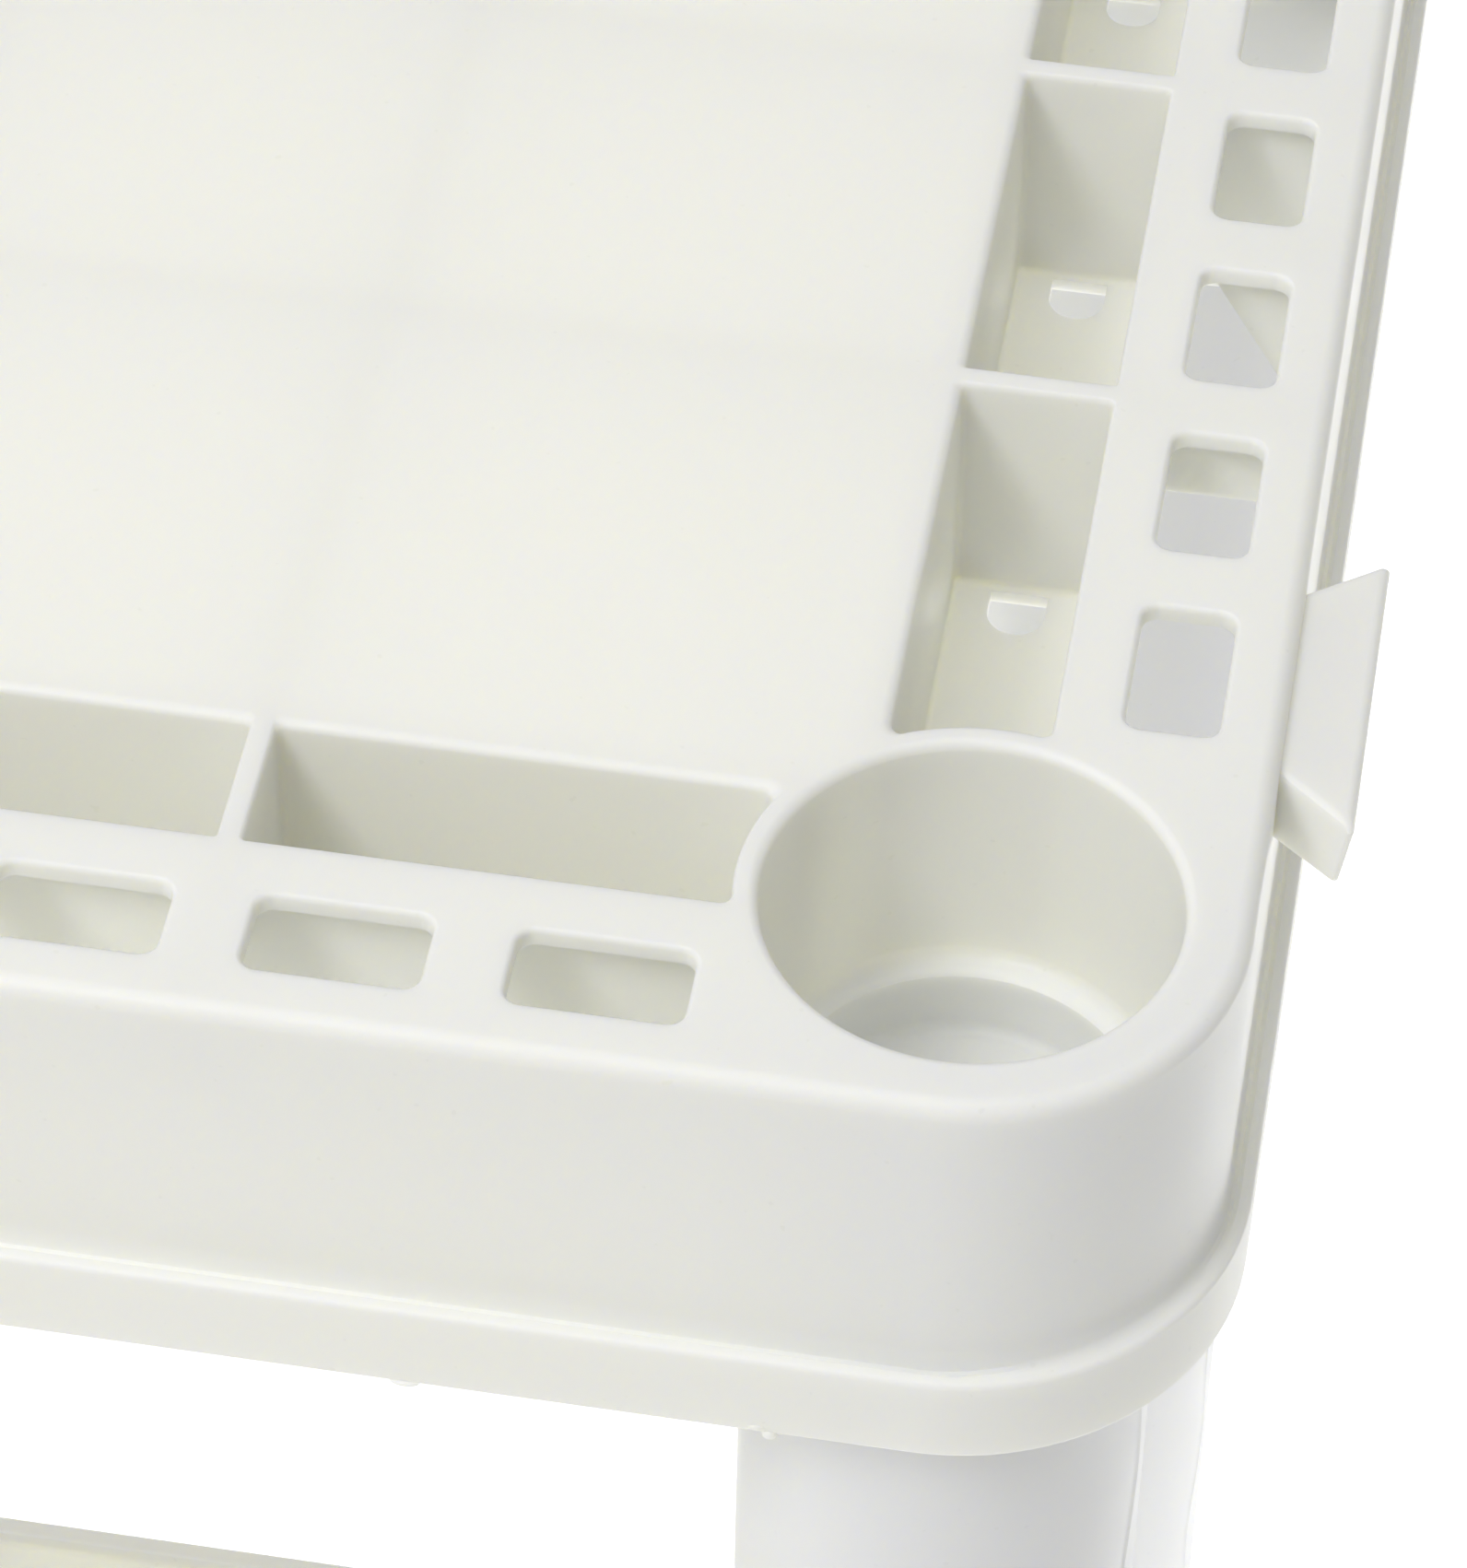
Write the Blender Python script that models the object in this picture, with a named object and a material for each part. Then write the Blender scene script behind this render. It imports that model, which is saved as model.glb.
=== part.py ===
"""Rolling work cart: a flush organiser top on four tubular legs, a low shelf and four stem casters.

Metres, +Z up. The origin is on the floor under the middle of the cart, +X runs along the long side.
"""

import math
from typing import NamedTuple

import bmesh
import bpy
from mathutils import Matrix, Vector

# ---- driving dimensions ----------------------------------------------------------------------
TOP_Z = 0.914  # height of the working surface
CUP_BORE_R = 0.040  # cup holder, one over each leg
FIT_GAP = 0.0003  # between pieces that touch


class Side(NamedTuple):
    """One kind of side of the top: its row of bins, and its row of tool slots outside them."""

    bins: int
    end_bin: float  # cup centre to the first divider
    bin_pitch: float
    slots: int
    first_slot: float  # cup centre to the first slot

    @property
    def half_length(self):
        """Half the distance between the legs."""
        return self.end_bin + self.bin_pitch * (self.bins - 2) / 2


LONG_SIDE = Side(bins=6, end_bin=0.1398, bin_pitch=0.09875, slots=12, first_slot=0.0648)
SHORT_SIDE = Side(bins=3, end_bin=0.1425, bin_pitch=0.0982, slots=6, first_slot=0.0667)
LEG_X = LONG_SIDE.half_length
LEG_Y = SHORT_SIDE.half_length
CORNERS = {
    "front_left": (-1, -1),
    "front_right": (1, -1),
    "rear_left": (-1, 1),
    "rear_right": (1, 1),
}

# ---- top shelf -------------------------------------------------------------------------------
SHELF_DEPTH = 0.095
PLATE_T = 0.004
WALL_T = 0.004
WALL_OUT = 0.053  # skirt wall, outwards from the leg axes
BAND_OUT = 0.058  # proud band round the skirt's foot
EDGE_R = 0.0035
LEDGE_DROP = 0.073
BIN_IN = 0.0240  # deck edge of the bins, inwards from the leg axes
BIN_OUT = 0.0098  # rim edge of the bins, outwards from the leg axes
BIN_DEPTH = 0.055
BIN_WALL = 0.003
DIVIDER_T = 0.0035
WEB_DEPTH = 0.0238  # webs under the rim, beside the dividers
DEEP_WEB_DEPTH = 0.0545
GUSSET_FROM = 0.0202  # where the slanted web's lower edge leaves the top, out from the leg axes
GUSSET_DEPTH = 0.0508
BEAM_T = 0.004  # ribs under the deck
LONG_BEAM_DEPTH = 0.035
CROSS_BEAM_DEPTH = 0.030
MERGE = 0.001  # how far a moulded part reaches into its neighbour, so that they join
CUT_CLEAR = 0.010  # how far a cutter reaches past the face that it opens
CUP_OUT_R = 0.0442
CUP_SHOULDER = 0.058
WELL_R = 0.0352
WELL_DEPTH = 0.076
SLOT_OUT = 0.0314  # slot centre line, outwards from the leg axes
SLOT_HALF_L = 0.018
SLOT_HALF_W = 0.0103
SLOT_R = 0.0045
SLOT_CUT_DEPTH = 0.012
DRAIN_R = 0.006
DRAIN_FROM_WALL = 0.0030
HOOK_TOP = 0.004
HOOK_FOOT = 0.022
HOOK_OUT = 0.0685
HOOK_ROOT_HALF = 0.0245
HOOK_TIP_HALF = 0.0375
HOOK_TIP_R = 0.003
HOOK_FROM_CUP = 0.0715  # cup centre to the middle of a hook

# ---- legs and lower shelf --------------------------------------------------------------------
LEG_OUT_R = 0.0415
LEG_IN_R = 0.0380
SLEEVE_IN_R = LEG_OUT_R + FIT_GAP
SPIGOT_R = LEG_IN_R - FIT_GAP
SHOULDER_UNDER = 0.063
LOW_DECK_Z = 0.120
LOW_LIP_Z = 0.124
LOW_SKIRT_Z = 0.092
LOW_OUT = 0.025  # panel edge, outwards from the leg axes
LOW_BEAM_PITCH = 0.0982
LOW_BEAM_FOOT_Z = 0.098
STEM_HOLE_R = 0.012
COLLAR_R = 0.047
COLLAR_TOP_Z = 0.150
COLLAR_FOOT_Z = 0.090
COLLAR_FLOOR_T = 0.004

# ---- casters ---------------------------------------------------------------------------------
WHEEL_R = 0.0375
TYRE_HALF_W = 0.011
TREAD_T = 0.009
TRAIL = 0.028
STEM_R = 0.0055
RACE_R = 0.0180
KING_R = 0.0050
CROWN_Z = (0.0790, 0.0853)
CROWN_R = 0.0200
FORK_IN = 0.0135
FORK_T = 0.0025
AXLE_R = 0.0040
PEDAL_PIVOT = (0.0500, 0.0760)
PEDAL_PIN_R = 0.0030
BRAKED = ("front_right", "rear_right")

ROUND_STEPS = 24
PIN_STEPS = 12
WHEEL_STEPS = 20


# ---- materials -------------------------------------------------------------------------------
def material(name, colour, roughness, metallic=0.0):
    made = bpy.data.materials.new(name)
    made.use_nodes = True
    shader = made.node_tree.nodes["Principled BSDF"]
    shader.inputs["Base Color"].default_value = (*colour, 1.0)
    shader.inputs["Roughness"].default_value = roughness
    shader.inputs["Metallic"].default_value = metallic
    return made


# ---- mesh helpers ----------------------------------------------------------------------------
def finished(name, mesh_data, look=None, smooth_deg=35.0):
    """A new object from a bmesh, with its faces turned outwards and its round parts shaded smooth."""
    bmesh.ops.remove_doubles(mesh_data, verts=mesh_data.verts, dist=1e-6)
    bmesh.ops.recalc_face_normals(mesh_data, faces=mesh_data.faces)
    mesh = bpy.data.meshes.new(name)
    mesh_data.to_mesh(mesh)
    mesh_data.free()
    mesh.shade_smooth()
    mesh.set_sharp_from_angle(angle=math.radians(smooth_deg))
    made = bpy.data.objects.new(name, mesh)
    bpy.context.scene.collection.objects.link(made)
    if look:
        mesh.materials.append(look)
    return made


def add_loft(mesh_data, rings):
    """Joins rings of equally many points into one closed skin, capped at both ends."""
    rows = [[mesh_data.verts.new(point) for point in ring] for ring in rings]
    count = len(rows[0])
    for lower, upper in zip(rows, rows[1:]):
        for i in range(count):
            j = (i + 1) % count
            mesh_data.faces.new((lower[i], lower[j], upper[j], upper[i]))
    mesh_data.faces.new(rows[0][::-1])
    mesh_data.faces.new(rows[-1])


def rectangle(low, high):
    return [(low[0], low[1]), (high[0], low[1]), (high[0], high[1]), (low[0], high[1])]


def add_beam(mesh_data, middle, half_x, half_y, bottom, top):
    """A rib: a plain block from bottom to top."""
    x, y = middle
    outline = rectangle((x - half_x, y - half_y), (x + half_x, y + half_y))
    add_loft(mesh_data, extruded(outline, bottom, top))


def circle(radius, z, centre=(0.0, 0.0), steps=ROUND_STEPS):
    turns = [math.tau * i / steps for i in range(steps)]
    return [(centre[0] + radius * math.cos(a), centre[1] + radius * math.sin(a), z) for a in turns]


def add_turned(mesh_data, profile, centre=(0.0, 0.0), steps=ROUND_STEPS):
    """A solid turned about the vertical through centre, from (radius, z) pairs."""
    add_loft(mesh_data, [circle(radius, z, centre, steps) for radius, z in profile])


def add_ring(mesh_data, profile, centre=(0.0, 0.0), steps=ROUND_STEPS):
    """A hollow solid turned about the vertical: profile is a closed outline of (radius, z) pairs."""
    rows = [
        [mesh_data.verts.new(point) for point in circle(radius, z, centre, steps)]
        for radius, z in profile
    ]
    for k, lower in enumerate(rows):
        upper = rows[(k + 1) % len(rows)]
        for i in range(steps):
            j = (i + 1) % steps
            mesh_data.faces.new((lower[i], lower[j], upper[j], upper[i]))


def rounded_rectangle(half_x, half_y, radius, z, centre=(0.0, 0.0), steps=3):
    points = []
    for quarter, (sx, sy) in enumerate(((1, 1), (-1, 1), (-1, -1), (1, -1))):
        middle_x = centre[0] + sx * (half_x - radius)
        middle_y = centre[1] + sy * (half_y - radius)
        for i in range(steps + 1):
            a = math.pi / 2 * (quarter + i / steps)
            points.append((middle_x + radius * math.cos(a), middle_y + radius * math.sin(a), z))
    return points


def extruded(outline, low, high, axis="Z"):
    """The two end rings of an outline pushed along an axis; Y takes the outline as (x, z) pairs."""
    if axis == "Y":
        return [[(x, t, z) for x, z in outline] for t in (low, high)]
    return [[(x, y, t) for x, y in outline] for t in (low, high)]


def helper(name, mesh_data):
    """A hidden tool for a Boolean."""
    tool = finished(name, mesh_data)
    tool.hide_render = True
    tool.display_type = "WIRE"
    return tool


def boolean(target, tool, operation):
    modifier = target.modifiers.new(tool.name, "BOOLEAN")
    modifier.operation = operation
    modifier.object = tool


def stand(piece, x, y):
    """Puts a piece that is modelled round its own vertical axis on a leg's axis."""
    piece.location = (x, y, 0.0)


# ---- top shelf -------------------------------------------------------------------------------
def below_top(drop):
    return TOP_Z - drop


def shelf_ring(out, drop, steps=7):
    """A ring round the whole shelf, concentric with the cups at its corners."""
    return rounded_rectangle(LEG_X + out, LEG_Y + out, out, below_top(drop), steps=steps)


def side_frames():
    """The four sides as (matrix, side): local +X runs along the side and -Y points outwards."""
    places = (
        (0.0, (0, -LEG_Y, 0), LONG_SIDE),
        (math.pi, (0, LEG_Y, 0), LONG_SIDE),
        (math.pi / 2, (LEG_X, 0, 0), SHORT_SIDE),
        (-math.pi / 2, (-LEG_X, 0, 0), SHORT_SIDE),
    )
    return [
        (Matrix.Translation(middle) @ Matrix.Rotation(turn, 4, "Z"), side)
        for turn, middle, side in places
    ]


def placed(matrix, rings):
    return [[matrix @ Vector(point) for point in ring] for ring in rings]


def divider_places(side):
    return [side.bin_pitch * (i - (side.bins - 2) / 2) for i in range(side.bins - 1)]


def slot_places(side):
    """Tool slots, evenly spread between the two that are nearest the cups."""
    last = side.half_length - side.first_slot
    return [last * (2 * i / (side.slots - 1) - 1) for i in range(side.slots)]


def bin_end(face, direction, half_length):
    """One end of a bin, from the rim to the deck: a divider's face, or the round wall of a cup."""
    if face is not None:
        return [(face, -BIN_OUT), (face, BIN_IN)]
    low = math.asin(-BIN_OUT / CUP_OUT_R)
    high = math.asin(BIN_IN / CUP_OUT_R)
    turns = [low + (high - low) * i / 5 for i in range(6)]
    return [
        (direction * (half_length - CUP_OUT_R * math.cos(a)), CUP_OUT_R * math.sin(a))
        for a in turns
    ]


def add_bins(mesh_data, matrix, side):
    dividers = divider_places(side)
    lefts = [None, *(x + DIVIDER_T / 2 for x in dividers)]
    rights = [*(x - DIVIDER_T / 2 for x in dividers), None]
    levels = (below_top(BIN_DEPTH), TOP_Z + CUT_CLEAR)
    for left, right in zip(lefts, rights):
        outline = bin_end(right, 1, side.half_length) + bin_end(left, -1, side.half_length)[::-1]
        add_loft(mesh_data, placed(matrix, extruded(outline, *levels)))


def add_drains(mesh_data, matrix, side):
    """A D-shaped drain hole in each bin's floor, its flat side against the divider."""
    ends = [*divider_places(side), side.half_length - CUP_OUT_R]
    arc = [math.pi / 2 + math.pi * i / 8 for i in range(9)]
    middle_y = (BIN_IN - BIN_OUT) / 2
    for end in ends:
        flat = end - DIVIDER_T / 2 - DRAIN_FROM_WALL
        start = flat - DRAIN_R
        outline = [(start + DRAIN_R * math.cos(a), middle_y + DRAIN_R * math.sin(a)) for a in arc]
        outline += [(flat, middle_y - DRAIN_R), (flat, middle_y + DRAIN_R)]
        levels = (below_top(BIN_DEPTH + CUT_CLEAR), below_top(BIN_DEPTH - MERGE))
        add_loft(mesh_data, placed(matrix, extruded(outline, *levels)))


def add_slots(mesh_data, matrix, side):
    for x in slot_places(side):
        rings = [
            rounded_rectangle(SLOT_HALF_L, SLOT_HALF_W, SLOT_R, z, (x, -SLOT_OUT), steps=2)
            for z in (below_top(SLOT_CUT_DEPTH), TOP_Z + CUT_CLEAR)
        ]
        add_loft(mesh_data, placed(matrix, rings))


def add_rim_webs(mesh_data, matrix, side):
    """Webs between the bins' outer wall and the skirt; the short sides add a slanted gusset."""
    near, far = -BIN_OUT - BIN_WALL + MERGE, -WALL_OUT + WALL_T - MERGE
    half = BIN_WALL / 2
    high = below_top(PLATE_T / 2)
    short = side is SHORT_SIDE
    for i, x in enumerate(divider_places(side)):
        low = below_top(DEEP_WEB_DEPTH if short and i % 2 else WEB_DEPTH)
        add_loft(mesh_data, placed(matrix, extruded(rectangle((x - half, far), (x + half, near)), low, high)))
    if short:
        shape = [(-GUSSET_FROM, high), (far, high), (far, below_top(GUSSET_DEPTH))]
        add_loft(mesh_data, placed(matrix, [[(x, y, z) for y, z in shape] for x in (-half, half)]))


def add_trough(mesh_data, matrix, side):
    """The block that a row of bins is hollowed out of."""
    low, high = (-side.half_length, -BIN_OUT - BIN_WALL), (side.half_length, BIN_IN + BIN_WALL)
    levels = (below_top(BIN_DEPTH + BIN_WALL), below_top(PLATE_T / 2))
    add_loft(mesh_data, placed(matrix, extruded(rectangle(low, high), *levels)))


def hook_outline(side, middle_y):
    """A dovetail seen from above: wider at its outer face than where it leaves the wall."""
    half_plan = [
        (WALL_OUT - MERGE, -HOOK_ROOT_HALF),
        (HOOK_OUT - HOOK_TIP_R, -HOOK_TIP_HALF),
        (HOOK_OUT, -HOOK_TIP_HALF + HOOK_TIP_R),
    ]
    plan = half_plan + [(x, -y) for x, y in reversed(half_plan)]
    return [(side * (LEG_X + x), middle_y + y) for x, y in plan]


def hook_places():
    """One hook on each end, so that the top stays the same when it's turned half round."""
    reach = LEG_Y - HOOK_FROM_CUP
    return ((1, -reach), (-1, reach))


def top_shelf(look):
    """The organiser top: one hollow moulding with bins, cup holders, tool slots and hooks."""
    shell = bmesh.new()
    inside = WALL_OUT - WALL_T
    rings = [
        shelf_ring(inside, PLATE_T),
        shelf_ring(inside, LEDGE_DROP - 0.004),
        shelf_ring(BAND_OUT - WALL_T, LEDGE_DROP + 0.004),
        shelf_ring(BAND_OUT - WALL_T, SHELF_DEPTH),
        shelf_ring(BAND_OUT, SHELF_DEPTH),
        shelf_ring(BAND_OUT, LEDGE_DROP + 0.0015),
        shelf_ring(BAND_OUT - 0.0015, LEDGE_DROP),
        shelf_ring(WALL_OUT, LEDGE_DROP),
        shelf_ring(WALL_OUT, EDGE_R),
        shelf_ring(WALL_OUT - EDGE_R * 0.3, EDGE_R * 0.3),
        shelf_ring(WALL_OUT - EDGE_R, 0.0),
    ]
    add_loft(shell, rings)
    shelf = finished("top_shelf", shell, look)

    long_troughs, short_troughs, cups, webs = (bmesh.new() for _ in range(4))
    hollows, drains, sockets = (bmesh.new() for _ in range(3))
    for matrix, side in side_frames():
        add_trough(short_troughs if side is SHORT_SIDE else long_troughs, matrix, side)
        add_rim_webs(webs, matrix, side)
        add_bins(hollows, matrix, side)
        add_slots(hollows, matrix, side)
        add_drains(drains, matrix, side)
    for sx, sy in CORNERS.values():
        centre = (sx * LEG_X, sy * LEG_Y)
        foot = below_top(SHELF_DEPTH - 0.004)
        add_turned(cups, [(CUP_OUT_R, foot), (CUP_OUT_R, below_top(PLATE_T / 2))], centre)
        bore = [
            (WELL_R, below_top(WELL_DEPTH)),
            (WELL_R, below_top(CUP_SHOULDER + 0.002)),
            (CUP_BORE_R, below_top(CUP_SHOULDER)),
            (CUP_BORE_R, TOP_Z + CUT_CLEAR),
        ]
        add_turned(hollows, bore, centre)
        socket = [
            (SLEEVE_IN_R, below_top(SHELF_DEPTH)),
            (SLEEVE_IN_R, below_top(SHOULDER_UNDER)),
            (SPIGOT_R, below_top(SHOULDER_UNDER)),
            (SPIGOT_R, below_top(WELL_DEPTH + BIN_WALL)),
        ]
        add_turned(sockets, socket, centre)

    long_beams, cross_beams = bmesh.new(), bmesh.new()
    reach_x, reach_y = (leg - BIN_IN - BIN_WALL + MERGE for leg in (LEG_X, LEG_Y))
    # The two sets of ribs start at different heights inside the deck plate, so that no faces coincide.
    for y in divider_places(SHORT_SIDE):
        bottom, top = below_top(LONG_BEAM_DEPTH), below_top(PLATE_T * 0.50)
        add_beam(long_beams, (0.0, y), reach_x, BEAM_T / 2, bottom, top)
    for x in divider_places(LONG_SIDE):
        bottom, top = below_top(CROSS_BEAM_DEPTH), below_top(PLATE_T * 0.65)
        add_beam(cross_beams, (x, 0.0), BEAM_T / 2, reach_y, bottom, top)

    hooks = bmesh.new()
    for side, y in hook_places():
        add_loft(hooks, extruded(hook_outline(side, y), below_top(HOOK_FOOT), below_top(HOOK_TOP)))

    for name, mesh_data in (
        ("long_bin_walls", long_troughs),
        ("short_bin_walls", short_troughs),
        ("cup_walls", cups),
        ("rim_webs", webs),
        ("long_beams", long_beams),
        ("cross_beams", cross_beams),
        ("hook_blocks", hooks),
    ):
        boolean(shelf, helper(name, mesh_data), "UNION")
    for name, mesh_data in (
        ("bin_cup_and_slot_cutter", hollows),
        ("leg_socket_cutter", sockets),
        ("drain_cutter", drains),
    ):
        boolean(shelf, helper(name, mesh_data), "DIFFERENCE")
    return shelf


# ---- legs and lower shelf --------------------------------------------------------------------
LEG_FOOT_Z = COLLAR_FOOT_Z + COLLAR_FLOOR_T + FIT_GAP


def leg(corner, look):
    """A plain tube from the lower shelf's socket to the underside of the cup above it."""
    tube = bmesh.new()
    top = below_top(SHOULDER_UNDER) - FIT_GAP
    add_ring(tube, [(LEG_IN_R, LEG_FOOT_Z), (LEG_OUT_R, LEG_FOOT_Z), (LEG_OUT_R, top), (LEG_IN_R, top)])
    return finished(f"leg_{corner}", tube, look)


def lower_ring(out, z, steps=5):
    return rounded_rectangle(LEG_X + out, LEG_Y + out, out, z, steps=steps)


def lower_shelf(look):
    """A lipped panel with a hollow underside and a socket for each leg."""
    shell = bmesh.new()
    inside = LOW_OUT - WALL_T
    rings = [
        lower_ring(inside, LOW_DECK_Z - PLATE_T),
        lower_ring(inside, LOW_SKIRT_Z),
        lower_ring(LOW_OUT, LOW_SKIRT_Z),
        lower_ring(LOW_OUT, LOW_LIP_Z - 0.002),
        lower_ring(LOW_OUT - 0.002, LOW_LIP_Z),
        lower_ring(LOW_OUT - 0.006, LOW_LIP_Z),
        lower_ring(LOW_OUT - 0.008, LOW_DECK_Z),
    ]
    add_loft(shell, rings)
    shelf = finished("lower_shelf", shell, look)

    collars, sockets = bmesh.new(), bmesh.new()
    for sx, sy in CORNERS.values():
        centre = (sx * LEG_X, sy * LEG_Y)
        outside = [
            (COLLAR_R, COLLAR_FOOT_Z),
            (COLLAR_R, COLLAR_TOP_Z - 0.002),
            (COLLAR_R - 0.002, COLLAR_TOP_Z),
        ]
        add_turned(collars, outside, centre)
        hole = [
            (STEM_HOLE_R, COLLAR_FOOT_Z - CUT_CLEAR),
            (STEM_HOLE_R, COLLAR_FOOT_Z + COLLAR_FLOOR_T),
            (SLEEVE_IN_R, COLLAR_FOOT_Z + COLLAR_FLOOR_T),
            (SLEEVE_IN_R, COLLAR_TOP_Z + CUT_CLEAR),
        ]
        add_turned(sockets, hole, centre)
    long_beams, cross_beams = bmesh.new(), bmesh.new()
    reach_x, reach_y = LEG_X + inside + MERGE, LEG_Y + inside + MERGE
    for y in (-LOW_BEAM_PITCH, 0.0, LOW_BEAM_PITCH):
        bottom, top = LOW_BEAM_FOOT_Z, LOW_DECK_Z - PLATE_T * 0.50
        add_beam(long_beams, (0.0, y), reach_x, BEAM_T / 2, bottom, top)
    for i in (-2, -1, 0, 1, 2):
        bottom, top = LOW_BEAM_FOOT_Z + 0.002, LOW_DECK_Z - PLATE_T * 0.65
        add_beam(cross_beams, (i * LOW_BEAM_PITCH, 0.0), BEAM_T / 2, reach_y, bottom, top)

    boolean(shelf, helper("collar_blocks", collars), "UNION")
    boolean(shelf, helper("lower_long_beams", long_beams), "UNION")
    boolean(shelf, helper("lower_cross_beams", cross_beams), "UNION")
    boolean(shelf, helper("collar_cutter", sockets), "DIFFERENCE")
    return shelf


# ---- casters ---------------------------------------------------------------------------------
def stem_socket(corner, look):
    """The plug in the foot of a leg that grips the caster's stem."""
    plug = bmesh.new()
    foot, top = LEG_FOOT_Z, 0.132
    bore = STEM_R + FIT_GAP * 2
    rim = [(SPIGOT_R, foot), (SPIGOT_R, top - 0.002), (SPIGOT_R - 0.002, top)]
    add_ring(plug, [(bore, foot), *rim, (bore, top)])
    return finished(f"stem_socket_{corner}", plug, look)


def stem(corner, look):
    """Stem, upper race and king pin, turned in one piece; the fork hangs on the riveted head."""
    pin = bmesh.new()
    race_low, race_high = CROWN_Z[1] + FIT_GAP, COLLAR_FOOT_Z - FIT_GAP
    head = CROWN_Z[0] - FIT_GAP
    profile = [
        (0.0060, head - 0.0030),
        (0.0085, head - 0.0018),
        (0.0085, head),
        (KING_R, head),
        (KING_R, race_low),
        (RACE_R - 0.001, race_low),
        (RACE_R, race_low + 0.001),
        (RACE_R, race_high),
        (STEM_R, race_high),
        (STEM_R, 0.126),
        (STEM_R - 0.0015, 0.128),
    ]
    add_turned(pin, profile, steps=PIN_STEPS)
    return finished(f"stem_{corner}", pin, look)


def fork_side(braked):
    """The fork's cheek seen from the side, from the crown down and back to the axle."""
    turns = [math.radians(a) for a in (-150, -110, -70, -30)]
    around = [(TRAIL + 0.009 * math.cos(a), WHEEL_R + 0.009 * math.sin(a)) for a in turns]
    top = CROWN_Z[0] + 0.0030
    tail = [(0.0400, 0.0720), (0.0400, top)]
    if braked:
        x, z = PEDAL_PIVOT
        tail = [(x + 0.0052, z - 0.0035), (x + 0.0052, z + 0.0035), (x + 0.0020, top)]
    return [(-0.016, CROWN_Z[0] - 0.006), *around, *tail, (-0.016, top)]


def fork(corner, look):
    """Pressed steel fork: two cheeks under a round crown, with the wheel trailing the king pin."""
    braked = corner in BRAKED
    body = bmesh.new()
    width = FORK_IN + FORK_T
    add_loft(body, extruded(fork_side(braked), -width, width, "Y"))
    piece = finished(f"fork_{corner}", body, look)

    crown = bmesh.new()
    low, high = CROWN_Z
    add_turned(crown, [(CROWN_R, low + 0.0005), (CROWN_R, high - 0.0012), (CROWN_R - 0.002, high)])
    gap, holes = bmesh.new(), bmesh.new()
    roof_end = 0.036
    space = [(-0.05, 0.0), (0.09, 0.0), (0.09, 0.1), (roof_end, 0.1), (roof_end, low), (-0.05, low)]
    add_loft(gap, extruded(space, -FORK_IN, FORK_IN, "Y"))
    king = KING_R + FIT_GAP * 2
    add_turned(holes, [(king, 0.06), (king, 0.10)], steps=PIN_STEPS)
    cross = [((TRAIL, WHEEL_R), AXLE_R + FIT_GAP * 1.5)]
    if braked:
        cross.append((PEDAL_PIVOT, PEDAL_PIN_R + FIT_GAP * 1.5))
    for centre, radius in cross:
        outline = [(x, z) for x, z, _ in circle(radius, 0.0, centre, PIN_STEPS)]
        add_loft(holes, extruded(outline, -0.03, 0.03, "Y"))
    boolean(piece, helper(f"crown_disc_{corner}", crown), "UNION")
    boolean(piece, helper(f"wheel_gap_{corner}", gap), "DIFFERENCE")
    boolean(piece, helper(f"pin_holes_{corner}", holes), "DIFFERENCE")
    return piece


def across(piece_name, profile, look, steps, centre=(TRAIL, WHEEL_R), hollow=False):
    """A piece turned about the caster's cross axis, from (radius, distance along Y) pairs."""
    mesh_data = bmesh.new()
    (add_ring if hollow else add_turned)(mesh_data, profile, steps=steps)
    bmesh.ops.rotate(mesh_data, verts=mesh_data.verts, matrix=Matrix.Rotation(-math.pi / 2, 3, "X"))
    made = finished(piece_name, mesh_data, look)
    made.location = (centre[0], 0.0, centre[1])
    return made


def axle(corner, look):
    """The axle bolt, its head on one cheek and its thread under the nut on the other."""
    outer = FORK_IN + FORK_T + FIT_GAP
    profile = [
        (0.0050, -outer - 0.0045),
        (0.0068, -outer - 0.0030),
        (0.0068, -outer),
        (AXLE_R, -outer),
        (AXLE_R, outer + 0.0075),
        (AXLE_R - 0.0008, outer + 0.0083),
    ]
    return across(f"axle_{corner}", profile, look, PIN_STEPS)


def axle_nut(corner, look):
    """A hexagon nut: every second point of its outline is a corner, the others lie on its flats."""
    near = FORK_IN + FORK_T + FIT_GAP
    bore = AXLE_R + FIT_GAP * 1.5
    profile = [(bore, near), (0.0074, near), (0.0074, near + 0.0060), (bore, near + 0.0060)]
    nut = across(f"axle_nut_{corner}", profile, look, 12, hollow=True)
    for vertex in nut.data.vertices:
        on_rim = math.hypot(vertex.co.x, vertex.co.z) > 0.006
        turn = math.degrees(math.atan2(vertex.co.z, vertex.co.x))
        if on_rim and round(turn / 30) % 2:
            vertex.co.x *= math.cos(math.pi / 6)
            vertex.co.z *= math.cos(math.pi / 6)
    return nut


def hub(corner, look):
    """Wheel centre: a bore boss, a thin web and the rim that carries the tread."""
    bore = AXLE_R + 0.0005
    rim_in, rim_out = WHEEL_R - TREAD_T - 0.0035, WHEEL_R - TREAD_T - FIT_GAP
    half, boss, web = TYRE_HALF_W - 0.0008, 0.0128, 0.0030
    one_side = [(bore, boss), (0.0095, boss), (0.0105, web), (rim_in, web), (rim_in, half), (rim_out, half)]
    profile = one_side + [(radius, -y) for radius, y in reversed(one_side)]
    return across(f"wheel_hub_{corner}", profile, look, WHEEL_STEPS, hollow=True)


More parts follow.
